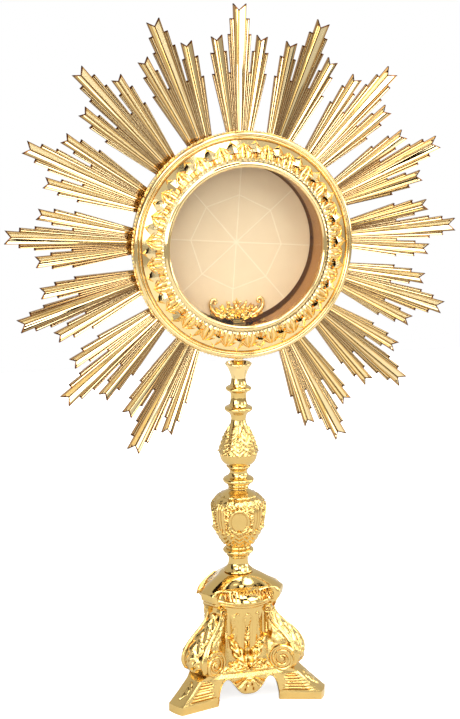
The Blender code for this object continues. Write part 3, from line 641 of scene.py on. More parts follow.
# ------------------------------------------------------------------ cap of the foot
# Hollow bow-fronted casting over the tripod: moulded edge, three square corners and a steep
# polished roof. A row of leaves is chased round the edge of each bow.
polished_gold = gilt("polished_gold", GOLD, CLOUD_AND_SHADE_GOLD, 0.07, 30, 0.0001)
turned_gold = gilt("turned_gold", CAST_GOLD, CLOUD_AND_SHADE_GOLD, 0.05, 30, 0.0001)
# Height, corner reach, half corner width, inner corner (along, across), panel distance
CAP_SECTIONS = [
    (0.0945, 0.0362, 0.0085, 0.0320, 0.0095, 0.0360),
    (0.0965, 0.0376, 0.0085, 0.0324, 0.0095, 0.0364),
    (0.0972, 0.0402, 0.0087, 0.0346, 0.0096, 0.0380),
    (0.0990, 0.0410, 0.0088, 0.0354, 0.0097, 0.0388),
    (0.1000, 0.0404, 0.0086, 0.0350, 0.0095, 0.0386),
    (0.1006, 0.0420, 0.0087, 0.0374, 0.0095, 0.0404),
    (0.1020, 0.0432, 0.0088, 0.0382, 0.0095, 0.0412),
    (0.1034, 0.0434, 0.0087, 0.0380, 0.0094, 0.0411),
    (0.1072, 0.0440, 0.0087, 0.0364, 0.0095, 0.0382),
    (0.1098, 0.0437, 0.0086, 0.0338, 0.0094, 0.0346),
    (0.1120, 0.0424, 0.0084, 0.0306, 0.0092, 0.0308),
    (0.1129, 0.0412, 0.0083, 0.0288, 0.0091, 0.0292),
    (0.1137, 0.0398, 0.0081, 0.0268, 0.0088, 0.0268),
    (0.1160, 0.0354, 0.0077, 0.0238, 0.0084, 0.0240),
    (0.1190, 0.0292, 0.0072, 0.0202, 0.0080, 0.0210),
    (0.1215, 0.0236, 0.0068, 0.0176, 0.0076, 0.0184),
    (0.1230, 0.0182, 0.0065, 0.0152, 0.0073, 0.0166),
]
CAP_INSIDE = [
    (0.1200, 0.0100, 0.0040, 0.0098, 0.0050, 0.0120),
    (0.1165, 0.0165, 0.0052, 0.0155, 0.0062, 0.0178),
    (0.1115, 0.0255, 0.0062, 0.0235, 0.0072, 0.0258),
    (0.1065, 0.0300, 0.0065, 0.0285, 0.0075, 0.0315),
    (0.0945, 0.0300, 0.0065, 0.0285, 0.0075, 0.0325),
]
CAP_TOP = 0.1232
BORE = 0.0034
ROOF_LOW = 0.1098
ROOF_BLEND = 0.0030
ROOF_STEPS = 22


def cap_loop(section):
    """One loop of the cap: three short straight corners and three long bows between them."""
    height, reach, strap, corner_along, corner_across, panel = section
    half = [(reach, strap * part) for part in (0, 0.5, 0.9)]
    half += [(reach - (reach - corner_along) * part, strap + (corner_across - strap) * part)
             for part in (0.08, 0.5, 0.94)]
    corner_lateral = corner_along * COS30 - corner_across * 0.5
    corner_depth = corner_along * 0.5 + corner_across * COS30
    for part in np.linspace(0.985, 0, 22):
        lateral = corner_lateral * part
        depth = panel - (panel - corner_depth) * part ** 2
        half.append((depth * 0.5 + lateral * COS30, depth * COS30 - lateral * 0.5))
    leg = [(along, -across) for along, across in half[:0:-1]] + half[:-1]
    return [(along * math.cos(turn) - across * math.sin(turn),
             along * math.sin(turn) + across * math.cos(turn) + AXIS_Y, height)
            for turn in LEG_TURNS for along, across in leg]


def roof_loop(section):
    """A loop of the roof: its three corners are soft swells that die into the bows."""
    loop = np.array(cap_loop(section))
    flat = loop[:, :2] - [0, AXIS_Y]
    reach = np.linalg.norm(flat, axis=1)
    turn = np.arctan2(flat[:, 1], flat[:, 0])
    swell = ((1 + np.cos(3 * (turn - LEG_TURNS[0]))) / 2) ** 1.7
    soft = section[5] + (section[1] - section[5]) * swell
    share = np.clip((section[0] - ROOF_LOW) / ROOF_BLEND, 0, 1)
    size = (reach * (1 - share) + soft * share) / reach
    return np.column_stack([flat[:, 0] * size, flat[:, 1] * size + AXIS_Y, loop[:, 2]])


cap_heights = [section[0] for section in CAP_SECTIONS]
roof_sections = [[np.interp(height, cap_heights, column) for column in zip(*CAP_SECTIONS)]
                 for height in np.linspace(ROOF_LOW, CAP_SECTIONS[-1][0], ROOF_STEPS)]
cap_outer = [np.array(cap_loop(section)) for section in CAP_SECTIONS if section[0] < ROOF_LOW]
cap_outer += [roof_loop(section) for section in roof_sections]
cap_inner = [np.array(cap_loop(section)) for section in CAP_INSIDE]
cap_bore = [hole_loop(cap_outer[0], BORE, CAP_TOP), hole_loop(cap_outer[0], BORE, CAP_INSIDE[0][0])]
cap = skin("cap_casting", cap_outer + cap_bore + cap_inner, turned_gold, smooth=55)
install(cap, "stand", "gilt_brass", "base_cap")


def leaf_solid(length, half, lobes, crown, thickness, rise, rows=16, columns=11):
    """A separate leaf: across X, outward along -Y from its foot, height Z; rise lifts the tip."""
    along = np.linspace(0.0, 1.0, rows)[:, None]
    across = np.linspace(-1, 1, columns)[None, :]
    share = np.clip(along, 0.02, 1)
    width = half * np.clip(1.25 * share ** 0.35 * (1 - along) ** 0.75, 0, 1)
    width = width * (0.84 + 0.16 * np.abs(np.cos(math.pi * lobes * along)))
    height = crown * (1 - across ** 2) * (0.35 + 0.65 * np.sin(math.pi * share ** 0.7))
    height = height + crown * 0.45 * np.cos(across * math.pi * 3) * (1 - along) + rise * along ** 2
    front = np.stack([across * width, -length * along + 0 * across, height], axis=-1)
    back = front.copy()
    back[..., 2] = rise * along ** 2 - thickness
    return front, back


def slab_rows(front, back):
    """Loops that run out over the front of a grid and home over its back: a closed body."""
    return np.concatenate([front, back[:, ::-1]], axis=1)


def path_tree():
    """Copies of a piece set evenly along a closed path: X along the path, Z to the given front."""
    tree, given, result = new_group(
        "set_along_path", "GeometryNodeTree",
        {"Piece": "Geometry", "Path": "Object", "Count": "Int", "Front": "Vector", "Lean": "Float",
         "Finish": "Material"}, {"Copies": "Geometry"})
    path = add_node(tree, "GeometryNodeObjectInfo", {"Object": given["Path"]})
    line = add_node(tree, "GeometryNodeMeshToCurve", {"Mesh": path.outputs["Geometry"]})
    even = add_node(tree, "GeometryNodeResampleCurve",
                    {"Curve": line.outputs["Curve"], "Count": given["Count"]})
    tangent = add_node(tree, "GeometryNodeInputTangent").outputs["Tangent"]
    onward = add_node(tree, "FunctionNodeAlignRotationToVector", {"Vector": tangent}, axis="X")
    upright = add_node(tree, "FunctionNodeAlignRotationToVector",
                       {"Rotation": onward.outputs["Rotation"], "Vector": given["Front"]},
                       axis="Z", pivot_axis="X")
    tilt = add_node(tree, "FunctionNodeAxisAngleToRotation", {"Axis": (1, 0, 0), "Angle": given["Lean"]})
    leaning = add_node(tree, "FunctionNodeRotateRotation",
                       {"Rotation": upright.outputs["Rotation"], "Rotate By": tilt.outputs["Rotation"]},
                       rotation_space="LOCAL")
    coat_copies(tree, given, result, even.outputs["Curve"], leaning.outputs["Rotation"])
    return tree


set_along_path = path_tree()


def set_along(piece, points, closed, count, front, lean, finish):
    """Set copies of a piece along a guide made only of edges, which is removed after use."""
    last = len(points) if closed else len(points) - 1
    edges = [(index, (index + 1) % len(points)) for index in range(last)]
    mesh = bpy.data.meshes.new("guide")
    mesh.from_pydata([tuple(point) for point in points], edges, [])
    guide = bpy.data.objects.new("guide", mesh)
    bpy.context.collection.objects.link(guide)
    run_tree(piece, set_along_path, {"Path": guide, "Count": count, "Front": front, "Lean": lean,
                                     "Finish": finish})
    bpy.data.objects.remove(guide, do_unlink=True)


BOW_LEAVES = 14
BOW_SLOPE = math.radians(45)
BOW_HALF = math.radians(38)
BOW_STEPS = 40
BOW_SUNK = 0.0004           # how deep the feet of the leaves lie in the roof
BOW_SECTION = CAP_SECTIONS[-7]
bow_leaf = gather("cap_leaves", [slab_rows(*leaf_solid(0.0112, 0.0024, 2, 0.0020, 0.0010, 0.0008, 9, 9))],
                  cast_gold)
bow_edge = roof_loop(BOW_SECTION)
bow_turns = np.arctan2(bow_edge[:, 0], AXIS_Y - bow_edge[:, 1])
bow_order = np.argsort(bow_turns)
bow_spread = np.linspace(-BOW_HALF, BOW_HALF, BOW_STEPS)
bow_reach = np.linalg.norm(bow_edge[:, :2] - [0, AXIS_Y], axis=1)
bow_far = np.interp(bow_spread, bow_turns[bow_order], bow_reach[bow_order])
bow_row = np.column_stack([bow_far * np.sin(bow_spread), -bow_far * np.cos(bow_spread),
                           np.full(BOW_STEPS, BOW_SECTION[0] - BOW_SUNK)])
set_along(bow_leaf, bow_row, False, BOW_LEAVES, (0.0, 0.0, 1.0), BOW_SLOPE, cast_gold)
run_tree(bow_leaf, turned_copies, {**ON_STEM, "Count": 3, "First Turn": 0.0, "Pitch": math.radians(120),
                                   "Finish": cast_gold})
install(bow_leaf, "stand", "gilt_brass")


# ------------------------------------------------------------------ stem
# Turned and cast brass pieces threaded on the tie rod: spool, ring, vase knop with cartouches,
# collar, pear knop with foliage, spindle of two rings, and the open cup for the tenon.
STEM_ROUND = 96
RELIEF_ROWS = 110


def flow(points, steps=5):
    """A smooth line through the points; a point given twice is a corner."""
    runs, run = [], [points[0]]
    for before, point in zip(points, points[1:]):
        if point == before:
            runs.append(run)
            run = []
        run.append(point)
    runs.append(run)
    line = []
    for run in runs:
        knots = np.array([run[0]] + run + [run[-1]], float)
        for before, start, end, after in zip(knots, knots[1:], knots[2:], knots[3:]):
            for share in np.arange(steps) / steps:
                line.append(0.5 * (2 * start + (end - before) * share
                                   + (2 * before - 5 * start + 4 * end - after) * share ** 2
                                   + (3 * start - before - 3 * end + after) * share ** 3))
        line.append(knots[-1])
    return np.array(line)


def stem_rows(line, around, relief=None, bore=BORE):
    """Loops about the stem axis up the outside of a turned piece and down its bore."""
    turns = full_turn(around)
    height, radius = line[:, 0][:, None], line[:, 1][:, None]
    size = radius + (relief(turns[None, :], height) if relief else 0)
    size = np.concatenate([size + 0 * turns, np.full((2, around), bore)])
    levels = np.concatenate([height + 0 * turns, np.full((1, around), line[-1, 0]),
                             np.full((1, around), line[0, 0])])
    return np.stack([size * np.cos(turns), size * np.sin(turns) + AXIS_Y, levels], axis=-1)


def around_stem(turns, first, count):
    """Signed angle to the nearest of count evenly spaced directions."""
    pitch = 2 * math.pi / count
    return (turns - first + pitch / 2) % pitch - pitch / 2


FRONT_TURN = math.radians(-104)


def vase_relief(turns, height):
    """Four oval cartouches with leafy surrounds, ribs between them, leaves above and below."""
    quarter = around_stem(turns, FRONT_TURN, 4)
    oval = np.hypot(quarter * 0.0255 / 0.0088, (height - 0.1800) / 0.0112)
    frame_ring = 0.0012 * ridge(oval, 1.05, 0.13)
    band = ((height > 0.1655) & (height < 0.1960)).astype(float)
    between = around_stem(turns, FRONT_TURN + math.pi / 4, 4)
    ribs = 0.0009 * np.abs(np.cos(between * 26)) * (np.abs(between) < 0.185) * band
    curl = np.sin(quarter * 31 + np.sin(height * 900) * 2.2)
    scrolls = 0.0007 * (curl * np.sin(height * 1100 + quarter * 9))
    scrolls = scrolls * (oval > 1.15) * (np.abs(between) > 0.21) * band
    low = leaf_relief(around_stem(turns, FRONT_TURN, 8) / 0.40, (height - 0.1520) / 0.0185, 4)
    low = np.maximum(low, leaf_relief(around_stem(turns, FRONT_TURN + math.pi / 8, 8) / 0.34,
                                      (height - 0.1520) / 0.0235, 4) * 0.8)
    high = leaf_relief(around_stem(turns, FRONT_TURN, 12) / 0.27, (0.2030 - height) / 0.0095, 3)
    return 1.3 * frame_ring + 1.4 * (ribs + scrolls) + 0.0020 * low + 0.0012 * high


def pear_relief(turns, height):
    """Two tiers of upright leaves above the smooth cup of the pear, and a beaded girdle."""
    first = leaf_relief(around_stem(turns, FRONT_TURN, 7) / 0.47, (height - 0.2440) / 0.0190, 4)
    second = leaf_relief(around_stem(turns, FRONT_TURN + math.pi / 7, 7) / 0.47,
                         (height - 0.2490) / 0.0215, 4)
    girdle = ridge(height, 0.2440, 0.0009) * (0.6 + 0.4 * np.cos(turns * 30))
    return 0.0020 * np.maximum(first, second) + 0.0007 * girdle


# Each piece: node, relief, points around, (height, radius) up its outside
STEM_PIECES = [
    ("stem_foot", None, STEM_ROUND, [
        (0.1235, 0.0138), (0.1243, 0.0146), (0.1252, 0.0143), (0.1262, 0.0132), (0.1285, 0.0112),
        (0.1315, 0.0100), (0.1345, 0.0097), (0.1375, 0.0099), (0.1390, 0.0103), (0.1390, 0.0103),
        (0.1393, 0.0112), (0.1400, 0.0115), (0.1405, 0.0112)]),
    ("lower_ring", None, STEM_ROUND, [
        (0.1408, 0.0112), (0.1413, 0.0116), (0.1418, 0.0112), (0.1418, 0.0112), (0.1424, 0.0132),
        (0.1436, 0.0147), (0.1449, 0.0152), (0.1462, 0.0147), (0.1472, 0.0134), (0.1476, 0.0120),
        (0.1476, 0.0120), (0.1484, 0.0125), (0.1492, 0.0124), (0.1500, 0.0119)]),
    ("lower_knop", vase_relief, 240, [
        (0.1503, 0.0121), (0.1520, 0.0136), (0.1541, 0.0152), (0.1590, 0.0181), (0.1650, 0.0213),
        (0.1747, 0.0248), (0.1800, 0.0260), (0.1850, 0.0265), (0.1900, 0.0263), (0.1935, 0.0254),
        (0.1965, 0.0239), (0.1990, 0.0220), (0.2005, 0.0200), (0.2005, 0.0200), (0.2010, 0.0186),
        (0.2025, 0.0172), (0.2045, 0.0140), (0.2060, 0.0110), (0.2072, 0.0095)]),
    ("middle_collar", None, STEM_ROUND, [
        (0.2075, 0.0092), (0.2080, 0.0100), (0.2088, 0.0100), (0.2094, 0.0092), (0.2094, 0.0092),
        (0.2100, 0.0101), (0.2112, 0.0106), (0.2124, 0.0103), (0.2130, 0.0112), (0.2130, 0.0112),
        (0.2136, 0.0130), (0.2152, 0.0148), (0.2168, 0.0152), (0.2182, 0.0146), (0.2194, 0.0128),
        (0.2200, 0.0112), (0.2200, 0.0112), (0.2215, 0.0098), (0.2235, 0.0089), (0.2255, 0.0088),
        (0.2275, 0.0096), (0.2290, 0.0108)]),
    ("upper_knop", pear_relief, 180, [
        (0.2293, 0.0112), (0.2302, 0.0119), (0.2312, 0.0117), (0.2318, 0.0110), (0.2318, 0.0110),
        (0.2326, 0.0126), (0.2345, 0.0152), (0.2375, 0.0172), (0.2405, 0.0181), (0.2438, 0.0184),
        (0.2465, 0.0178), (0.2500, 0.0167), (0.2550, 0.0150), (0.2592, 0.0136), (0.2640, 0.0115),
        (0.2681, 0.0098), (0.2725, 0.0081), (0.2768, 0.0072)]),
    ("upper_spindle", None, STEM_ROUND, [
        (0.2771, 0.0072), (0.2800, 0.0076), (0.2826, 0.0086), (0.2840, 0.0098), (0.2846, 0.0100),
        (0.2846, 0.0100), (0.2854, 0.0122), (0.2868, 0.0134), (0.2881, 0.0137), (0.2893, 0.0131),
        (0.2903, 0.0115), (0.2906, 0.0098), (0.2906, 0.0098), (0.2925, 0.0086), (0.2950, 0.0080),
        (0.2985, 0.0076), (0.3018, 0.0077), (0.3040, 0.0085), (0.3046, 0.0088), (0.3046, 0.0088),
        (0.3054, 0.0108), (0.3066, 0.0121), (0.3079, 0.0125), (0.3092, 0.0118), (0.3100, 0.0104),
        (0.3103, 0.0090), (0.3103, 0.0090), (0.3120, 0.0080), (0.3145, 0.0074), (0.3177, 0.0070)]),
]
for node, relief, around, outline in STEM_PIECES:
    finish = cast_gold if relief else turned_gold
    line = flow(outline, 10 if relief else 5)
    if relief:
        low, high = line[0, 0], line[-1, 0]
        levels = np.linspace(low, high, RELIEF_ROWS)
        line = np.column_stack([levels, np.interp(levels, line[:, 0], line[:, 1])])
    piece = skin(f"{node}_turned", stem_rows(line, around, relief), finish, smooth=40)
    install(piece, "stand", "gilt_brass", node)

CUP_LINE = [
    (0.3180, BORE), (0.3180, 0.0070), (0.3180, 0.0070), (0.3200, 0.0074), (0.3235, 0.0086),
    (0.3270, 0.0101), (0.3296, 0.0117), (0.3308, 0.0126), (0.3320, 0.0130), (0.3329, 0.0127),
    (0.3332, 0.0121), (0.3328, 0.0114), (0.3305, 0.0106), (0.3262, 0.0092), (0.3244, 0.0082),
    (0.3240, 0.0074), (0.3240, BORE), (0.3240, BORE)]


def turned_rows(line, around=STEM_ROUND):
    """Loops about the stem axis from (height, radius) points."""
    return np.array([[(radius * math.cos(turn), radius * math.sin(turn) + AXIS_Y, height)
                      for turn in full_turn(around)] for height, radius in line])


cup = skin("socket_cup_turned", turned_rows(flow(CUP_LINE)), polished_gold)
install(cup, "stand", "gilt_brass", "socket_cup")

# ------------------------------------------------------------------ tie rod, washer and nut
# A steel rod clamps the stack: a washer and a hexagon nut hold it inside the foot.
def steel_finish(name, color, polish):
    """Turned steel: fine rings of the tool as grain in roughness and bump."""
    finish, tree, shader = new_finish(name)
    place = add_node(tree, "ShaderNodeTexCoord").outputs["Object"]
    rings = add_node(tree, "ShaderNodeTexWave", {"Vector": place, "Scale": 1200, "Distortion": 1.5},
                     bands_direction="Z").outputs["Fac"]
    bump = add_node(tree, "ShaderNodeBump", {"Height": rings, "Distance": 0.00005})
    feed(tree, shader, {"Metallic": 1.0, "Base Color": (*color, 1),
                        "Roughness": map_range(tree, rings, 0.0, 1.0, polish, polish * 1.6),
                        "Normal": bump.outputs["Normal"]})
    return finish


steel = steel_finish("steel", (0.56, 0.55, 0.53), 0.28)
rod_low, rod_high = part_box("tie_rod")
ROD = (rod_high.x - rod_low.x) / 2
THREAD_PITCH = 0.0010
THREAD_DEPTH = 0.0004
ROD_ROUND = 24
thread_heights = np.arange(rod_low.z + 0.0008, rod_high.z - 0.0008, THREAD_PITCH / 2)
rod_line = [(rod_low.z, 0), (rod_low.z, ROD - 0.0006), (rod_low.z + 0.0005, ROD)]
for number, height in enumerate(thread_heights):
    threaded = height < rod_low.z + 0.020 or height > rod_high.z - 0.018
    rod_line.append((height, ROD - (THREAD_DEPTH if threaded and number % 2 else 0)))
rod_line += [(rod_high.z - 0.0005, ROD), (rod_high.z, ROD - 0.0006), (rod_high.z, 0)]
rod = skin("tie_rod_threaded", turned_rows(rod_line, ROD_ROUND), steel, closed=False)
install(rod, "stand", "steel", "tie_rod")
washer_low, washer_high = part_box("base_washer")
washer_out = (washer_high.x - washer_low.x) / 2
EASE = 0.0003
washer_line = [
    (washer_low.z, BORE), (washer_low.z, washer_out - EASE), (washer_low.z + EASE, washer_out),
    (washer_high.z - EASE, washer_out), (washer_high.z, washer_out - EASE), (washer_high.z, BORE)]
washer = skin("base_washer_turned", turned_rows(washer_line), steel)
install(washer, "stand", "steel", "base_washer")
nut_low, nut_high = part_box("base_nut")
NUT_CORNER = 0.0064
NUT_ROUND = 48


def nut_row(height, round_off):
    """A hexagon loop whose corners are turned down by the chamfer."""
    points = []
    for turn in full_turn(NUT_ROUND):
        flat = NUT_CORNER * COS30 / math.cos((turn % (math.pi / 3)) - math.pi / 6)
        size = min(flat, round_off)
        points.append((size * math.cos(turn), size * math.sin(turn) + AXIS_Y, height))
    return points


nut_chamfer = [(0.0, 0.0057), (0.0005, 0.0062), (0.0009, 0.0066)]
nut_rows = [nut_row(nut_low.z + inset, round_off) for inset, round_off in nut_chamfer]
nut_rows += [nut_row(nut_high.z - inset, round_off) for inset, round_off in nut_chamfer[::-1]]
nut_rows += [*turned_rows([(nut_high.z, BORE), (nut_low.z, BORE)], NUT_ROUND)]
nut = skin("base_nut_hexagon", nut_rows, steel, smooth=25)
install(nut, "stand", "steel", "base_nut")

# ------------------------------------------------------------------ case
# The drum is a rolled brass band, soldered to a turned bezel in front and to the ray carrier.
# The bezel has a bead at the lip, a slope for the leaves, a deep groove and a corded rim.
CASE_ROUND = 192


def case_rows(line, around=CASE_ROUND, first=0.0):
    """Loops about the glory's axis, clockwise from the top, from (radius, distance to the front)."""
    turns = first + full_turn(around)
    return np.array([[(radius * math.sin(turn), GLORY.y - front, GLORY.z + radius * math.cos(turn))
                      for turn in turns] for radius, front in line])


DRUM_IN, DRUM_OUT = 0.0760, 0.0780
# Painted shade: the drum band gets a darker, browner gold than the other gilt brass, standing in for the
# shade inside the case.
shaded_drum_gold = gilt("shaded_drum_gold", (0.52, 0.26, 0.05), (0.30, 0.12, 0.02), 0.12, 30, 0.0001)
DRUM_BACK, DRUM_FRONT = -0.0265, 0.0258
drum_line = [(DRUM_IN, DRUM_BACK), (DRUM_OUT, DRUM_BACK), (DRUM_OUT, DRUM_FRONT), (DRUM_IN, DRUM_FRONT)]
drum = skin("case_drum_band", case_rows(drum_line), shaded_drum_gold)
install(drum, "stand", "gilt_brass", "case_drum")
BEZEL_LINE = [
    (0.0783, 0.0120), (0.0783, 0.0120), (0.0783, 0.0285), (0.0783, 0.0285), (0.0741, 0.0285),
    (0.0741, 0.0285), (0.0739, 0.0298), (0.0744, 0.0309), (0.0756, 0.0316), (0.0770, 0.0316),
    (0.0782, 0.0309), (0.0790, 0.0303), (0.0790, 0.0303), (0.0800, 0.0300), (0.0985, 0.0232),
    (0.0985, 0.0232), (0.0990, 0.0222), (0.0996, 0.0220), (0.0996, 0.0220), (0.0999, 0.0234),
    (0.1006, 0.0242), (0.1014, 0.0242), (0.1020, 0.0234), (0.1020, 0.0234), (0.1026, 0.0240),
    (0.1036, 0.0243), (0.1048, 0.0239), (0.1058, 0.0228), (0.1064, 0.0214), (0.1066, 0.0200),
    (0.1066, 0.0140), (0.1066, 0.0140), (0.1046, 0.0140), (0.1046, 0.0140), (0.1040, 0.0205),
    (0.1040, 0.0205), (0.0975, 0.0208), (0.0806, 0.0268), (0.0806, 0.0268), (0.0803, 0.0120),
    (0.0803, 0.0120)]
bezel = skin("front_bezel_turned", case_rows(flow(BEZEL_LINE, 4)), polished_gold, smooth=30)
install(bezel, "stand", "gilt_brass", "front_bezel")

CORD_BEADS = 190
bead_turns = full_turn(8)
bead = np.array([[(0.0017 * height, 0.00075 * size * math.cos(turn) + 0.0006 * height,
                   0.00055 * size * math.sin(turn)) for turn in bead_turns]
                 for height, size in [(-1, 0), (-0.75, 0.66), (0, 1), (0.75, 0.66), (1, 0)]])
cord = gather("bezel_cord", [bead], polished_gold)
set_along(cord, case_rows([(0.1064, 0.0188)])[0], True, CORD_BEADS, (0.0, -1.0, 0.0), 0.0, polished_gold)
install(cord, "stand", "gilt_brass")

# ------------------------------------------------------------------ leaf border
# A pressed band of lotus leaves with ribbed bowls lies on the slope of the bezel; pointed leaves
# stand between and behind them. Both rows are chased after pressing.
chased_gold = gilt("chased_gold", (0.98, 0.77, 0.41), (0.82, 0.54, 0.20), 0.10, 80, 0.0003)
LEAVES = 26
SLOPE = math.atan2(0.0300 - 0.0232, 0.0985 - 0.0800)
LOTUS_KNEE = 0.46
LEAF_BACK = -0.0005


def lotus_leaf(length, half, crown, rows=19, columns=33):
    """A lotus leaf: broad ribbed bowl at the lip, two nested ribs round it, a keel and a sharp tip."""
    along = np.linspace(0, 1, rows)[:, None]
    across = np.linspace(-1, 1, columns)[None, :]
    width = half * np.where(along < LOTUS_KNEE, 0.86 + 0.14 * along / LOTUS_KNEE,
                            np.clip(1 - ((along - LOTUS_KNEE) / (1 - LOTUS_KNEE)) ** 1.15, 0, 1))
    side = np.abs(across)
    outer_rib = np.exp(-((side - 0.84) / 0.10) ** 2)
    inner_rib = np.exp(-((side - 0.46) / 0.10) ** 2) * np.clip((0.86 - along) / 0.2, 0, 1)
    keel = np.exp(-(side / 0.12) ** 2)
    dome = 0.30 * (1 - side ** 2)
    height = crown * (0.10 + dome + 0.80 * (outer_rib + inner_rib + keel)) * np.minimum(1, 12 * (1 - side))
    height = height * np.clip((1 - along) * 6, 0.25, 1) * np.clip(along * 5 + 0.15, 0, 1)
    front = np.stack([across * width, -length * along + 0 * across, height], axis=-1)
    back = front.copy()
    back[..., 2] = LEAF_BACK
    return slab_rows(front, back)


def pointed_leaf(length, half, crown, rows=7, columns=5):
    """A leaf of two flat facets that meet in a sharp midrib and run out in a point."""
    along = np.linspace(0, 1, rows)[:, None]
    across = np.linspace(-1, 1, columns)[None, :]
    width = half * np.clip(1 - along ** 1.5, 0, 1)
    height = crown * (1 - np.abs(across)) * (1 - 0.75 * along) + 0.0002
    front = np.stack([across * width, -length * along + 0 * across, height], axis=-1)
    back = front.copy()
    back[..., 2] = LEAF_BACK
    return slab_rows(front, back)


half_pitch = math.pi / LEAVES
for name, foot_radius, foot_front, shape, shift in [
        ("leaf_border_lotus", 0.0794, 0.0304, lotus_leaf(0.0174, 0.0114, 0.0034), 0.0),
        ("leaf_border_points", 0.0866, 0.0279, pointed_leaf(0.0127, 0.0082, 0.0049), half_pitch)]:
    leaf = gather(name, [shape], chased_gold, smooth=24)
    ring = case_rows([(foot_radius, foot_front)], LEAVES * 8, shift)[0]
    set_along(leaf, ring[::-1], True, LEAVES, (0.0, -1.0, 0.0), SLOPE, chased_gold)
    install(leaf, "stand", "gilt_brass", "leaf_border")

# ------------------------------------------------------------------ rays
# Fifteen alike cast clusters of stepped V-flutes, screwed to the flat carrier ring from behind.
# They fan out evenly, and the gap between the first and the last lies over the stem.
RAY_GOLD = (0.98, 0.79, 0.44)
ray_gold = gilt("ray_gold", RAY_GOLD, (0.45, 0.22, 0.05), 0.06, 25, 0.00002)
# Painted shade: a near-black gilt for the strips that stand for the shade at the flute ends and in the
# valleys.
painted_shade_gold = gilt("painted_shade_gold", (0.15, 0.055, 0.018), (0.08, 0.03, 0.01), 0.25, 60, 0.00002)
RAY_APEX = 0.0540
RAY_INNER = 0.0815
RAY_RIDGE = 0.0036
RAY_PITCH = math.radians(21.66)
RAY_COUNT = 15
ON_GLORY = {"Count": RAY_COUNT, "First Turn": -7 * RAY_PITCH, "Pitch": RAY_PITCH,
            "Axis": (0.0, 1.0, 0.0), "Centre": tuple(GLORY)}
FLUTE_DEPTH = 0.0030
# Flutes from the middle out: (edge slopes, ends at the inner edge, the valley and the outer edge)
FLUTES = [
    (-0.0371, 0.0371, 0.2213, 0.2158, 0.2213), (0.0371, 0.0604, 0.2080, 0.2080, 0.2080),
    (0.0604, 0.0786, 0.1939, 0.1939, 0.1939), (0.0786, 0.1000, 0.1595, 0.1595, 0.1595),
    (0.1000, 0.1207, 0.1788, 0.1788, 0.1788), (0.1207, 0.1965, 0.1933, 0.1885, 0.1916),
    (0.1965, 0.2244, 0.1770, 0.1770, 0.1770), (0.2244, 0.2500, 0.1580, 0.1580, 0.1580)]
# Fall of a flute's side from its ridge (1) to its valley (0): steep and gentle bands by turns
FLUTE_SIDE = [0, 0.12, 0.35, 0.55, 0.75, 0.92, 1]
FLUTE_FALL = [1.0, 0.94, 0.64, 0.48, 0.13, 0, 0]
FLUTE_CUT = 0.0014
FLUTE_STEPS = np.array([-1, -0.92, -0.75, -0.55, -0.35, -0.12, 0, 0.12, 0.35, 0.55, 0.75, 0.92, 1])


def flute(inner, outer, inner_end, valley_end, outer_end, steps=FLUTE_STEPS, start=None, lift=0.0):
    """One V-flute: two ridges and a valley that widen outwards from the rays' common point."""
    share = np.linspace(0, 1, 5)[:, None]
    step = steps[None, :]
    ridge_end = np.where(step < 0, inner_end, outer_end)
    end = valley_end + (ridge_end - valley_end) * np.abs(step) + lift
    near = end - start if start else RAY_INNER
    distance = near + (end - near) * share
    half_width = (outer - inner) / 2 * (distance - RAY_APEX)
    across = ((inner + outer) / 2 * (distance - RAY_APEX)) + half_width * step
    fall = np.interp(np.abs(step), FLUTE_SIDE, FLUTE_FALL)
    depth = RAY_RIDGE + lift - np.minimum(0.66 * half_width, FLUTE_DEPTH) * fall
    front = np.stack([across, -depth, distance], axis=-1)
    back = np.stack([across, 0 * depth, distance], axis=-1)
    return slab_rows(front, back)


# The flutes are sawn to length. Painted shade: thin near-black strips lie over the sawn ends and along the
# bottoms of the valleys.
VALLEY_SHADE_HALF = 0.0030
for name, steps, start, lift, finish in [
        ("rays", FLUTE_STEPS, None, 0.0, ray_gold),
        ("ray_ends", FLUTE_STEPS, FLUTE_CUT, 0.0001, painted_shade_gold),
        ("ray_valleys", None, None, 0.0001, painted_shade_gold)]:
    flutes = []
    for inner, outer, inner_end, valley_end, outer_end in FLUTES:
        narrow = np.linspace(-1, 1, 5) * VALLEY_SHADE_HALF * 2 / (outer - inner)
        across = narrow if steps is None else steps
        flutes.append(flute(inner, outer, inner_end, valley_end, outer_end, across, start, lift))
        if inner > 0:
            flutes.append(flute(-outer, -inner, outer_end, valley_end, inner_end, across, start, lift))
    rays = gather(name, flutes, finish, smooth=20)
    run_tree(rays, turned_copies, {**ON_GLORY, "Finish": finish})
    install(rays, "stand", "gilt_brass",
            *[f"ray_cluster_{number:02d}" for number in range(1, RAY_COUNT + 1)])

# ------------------------------------------------------------------ ray carrier and its screws
# A flat brass ring soldered round the drum, slotted below for the tenon. Two slotted screws from
# behind hold each cluster of rays against it.
def arc_block(profile, first, sweep, steps):
    """A closed bar of constant section that runs along an arc about the glory's axis."""
    sections = np.array([[(radius * math.sin(turn), GLORY.y - front, GLORY.z + radius * math.cos(turn))
                          for radius, front in profile] for turn in np.linspace(first, first + sweep, steps)])
    ends = [np.repeat(sections[at].mean(axis=0)[None, :], len(profile), axis=0) for at in (0, -1)]
    return np.concatenate([ends[0][None], sections, ends[1][None]])


